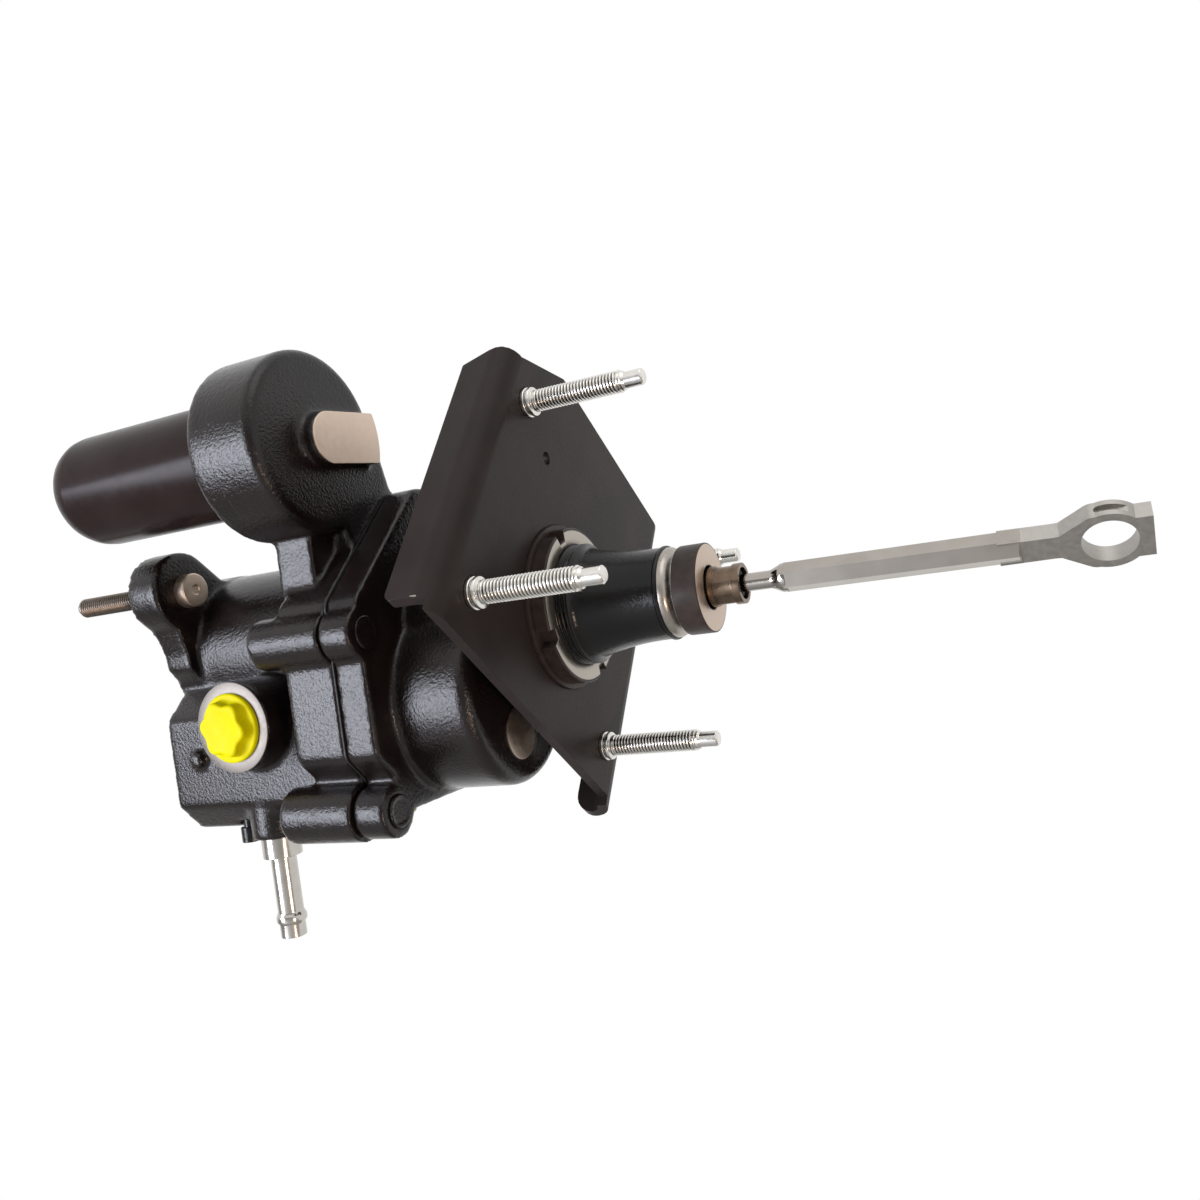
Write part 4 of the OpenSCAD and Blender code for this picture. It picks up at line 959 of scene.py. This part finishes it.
# The photograph's camera: its place, and its own right, up and forward directions, all in the row frame
CAMERA_PLACE = (0.178, -0.2704, -0.2150)
CAMERA_RIGHT = (0.8956, 0.4154, 0.1597)
CAMERA_UP = (0.1215, -0.5737, 0.8101)
CAMERA_AHEAD = (-0.4281, 0.7061, 0.5642)
LENS_MM = 31.46
SENSOR_MM = 36.0
CLIP = (0.02, 50)
FLOOR_REACH = 3.0
ROOM_LIGHT = 0.38  # Strength of the white room, beside the backdrop's 1

# Each softbox: name, place as seen by the camera (right, up, back) from the object's middle, width, height, power in
# watts and colour
SOFTBOXES = [
    ("left_softbox", (-0.87, -0.18, 0.44), 0.4, 0.62, 11.4, "#eef2ff"),
    ("top_softbox", (0.1, 1.0, 0.35), 0.8, 0.8, 2.2, "#ffffff"),
    ("low_softbox", (0.5, -0.28, 0.82), 0.11, 0.11, 2.2, "#ffdcc2"),
]


class BOOSTER_OT_stage(Operator):
    """Adds the camera, the floor, the softboxes and the pale surroundings"""
    bl_idname = "booster.stage"
    bl_label = "Stage"

    def execute(self, context):
        scene = context.scene
        right, up, back = Vector(CAMERA_RIGHT), Vector(CAMERA_UP), -Vector(CAMERA_AHEAD)
        self.camera(scene, Matrix((right, up, back)).transposed().to_4x4())
        middle = (Vector(CAD_BOX[0]) + Vector(CAD_BOX[1])) / 2
        for name, place, width, height, power, colour in SOFTBOXES:
            spot = middle + right * place[0] + up * place[1] + back * place[2]
            self.lamp(name, spot, middle, (width, height), power, colour)
        self.floor()
        self.surroundings(scene)
        scene.view_settings.view_transform = "Standard"
        return {"FINISHED"}

    def camera(self, scene, turn):
        """The photograph's camera."""
        camera = bpy.data.cameras.new("camera")
        camera.lens = LENS_MM
        camera.sensor_width = SENSOR_MM
        camera.clip_start, camera.clip_end = CLIP
        scene.camera = linked("camera", camera)
        scene.camera.matrix_world = Matrix.Translation(CAMERA_PLACE) @ turn

    def lamp(self, name, spot, target, size, power, colour):
        """A softbox at a spot, turned to a target."""
        light = bpy.data.lights.new(name, "AREA")
        light.shape = "RECTANGLE"
        light.size, light.size_y = size
        light.energy = power
        light.color = linear(colour)[:3]
        lamp = linked(name, light)
        lamp.location = spot
        lamp.rotation_euler = (target - lamp.location).to_track_quat("-Z", "Y").to_euler()

    def floor(self):
        """A square of paper below the object."""
        reach, drop = FLOOR_REACH, -sizes().floor_drop
        corners = [(-reach, -reach, drop), (reach, -reach, drop), (reach, reach, drop), (-reach, reach, drop)]
        mesh = bpy.data.meshes.new("floor")
        mesh.from_pydata(corners, [], [(0, 1, 2, 3)])
        mesh.materials.append(finish("floor"))
        linked("floor", mesh)

    def surroundings(self, scene):
        """A dim white room, which the camera, mirrors and glass see as the pale backdrop."""
        world = bpy.data.worlds.new("surroundings")
        scene.world = world
        world.use_nodes = True
        tree = world.node_tree
        tree.nodes.clear()
        path = add(tree, "ShaderNodeLightPath")
        shown = add(tree, "ShaderNodeMath", operation="MAXIMUM",
                    links={0: path.outputs["Is Camera Ray"], 1: path.outputs["Is Glossy Ray"]})
        seen = add(tree, "ShaderNodeMath", operation="MAXIMUM",
                   links={0: shown.outputs[0], 1: path.outputs["Is Transmission Ray"]})
        backdrop = add(tree, "ShaderNodeBackground", {"Color": (*sizes().backdrop, 1.0), "Strength": 1.0})
        room = add(tree, "ShaderNodeBackground", {"Color": (1.0, 1.0, 1.0, 1.0), "Strength": ROOM_LIGHT})
        mix = add(tree, "ShaderNodeMixShader", links={0: seen.outputs[0], 1: room.outputs[0], 2: backdrop.outputs[0]})
        add(tree, "ShaderNodeOutputWorld", links={"Surface": mix.outputs[0]})


OPERATORS = [BOOSTER_OT_housing, BOOSTER_OT_cover, BOOSTER_OT_bracket, BOOSTER_OT_fasteners, BOOSTER_OT_ports,
             BOOSTER_OT_rod, BOOSTER_OT_can, BOOSTER_OT_plain_nodes, BOOSTER_OT_stage]


class BOOSTER_PT_finishes(Panel):
    """Lists the booster's finishes"""
    bl_idname = "BOOSTER_PT_finishes"
    bl_label = "Brake booster"
    bl_space_type = "VIEW_3D"
    bl_region_type = "UI"
    bl_category = "Booster"

    def draw(self, context):
        for name in BoosterSizes.__annotations__:
            self.layout.prop(context.scene.booster_sizes, name)
        for operator in OPERATORS:
            self.layout.operator(operator.bl_idname)


CLASSES = [BoosterSizes, *OPERATORS, BOOSTER_PT_finishes]


def register():
    for cls in CLASSES:
        bpy.utils.register_class(cls)
    bpy.types.Scene.booster_sizes = PointerProperty(type=BoosterSizes)


def unregister():
    del bpy.types.Scene.booster_sizes
    for cls in reversed(CLASSES):
        bpy.utils.unregister_class(cls)


def main():
    register()
    for operator in OPERATORS:
        group, name = operator.bl_idname.split(".")
        getattr(getattr(bpy.ops, group), name)()


if __name__ == "__main__":
    main()
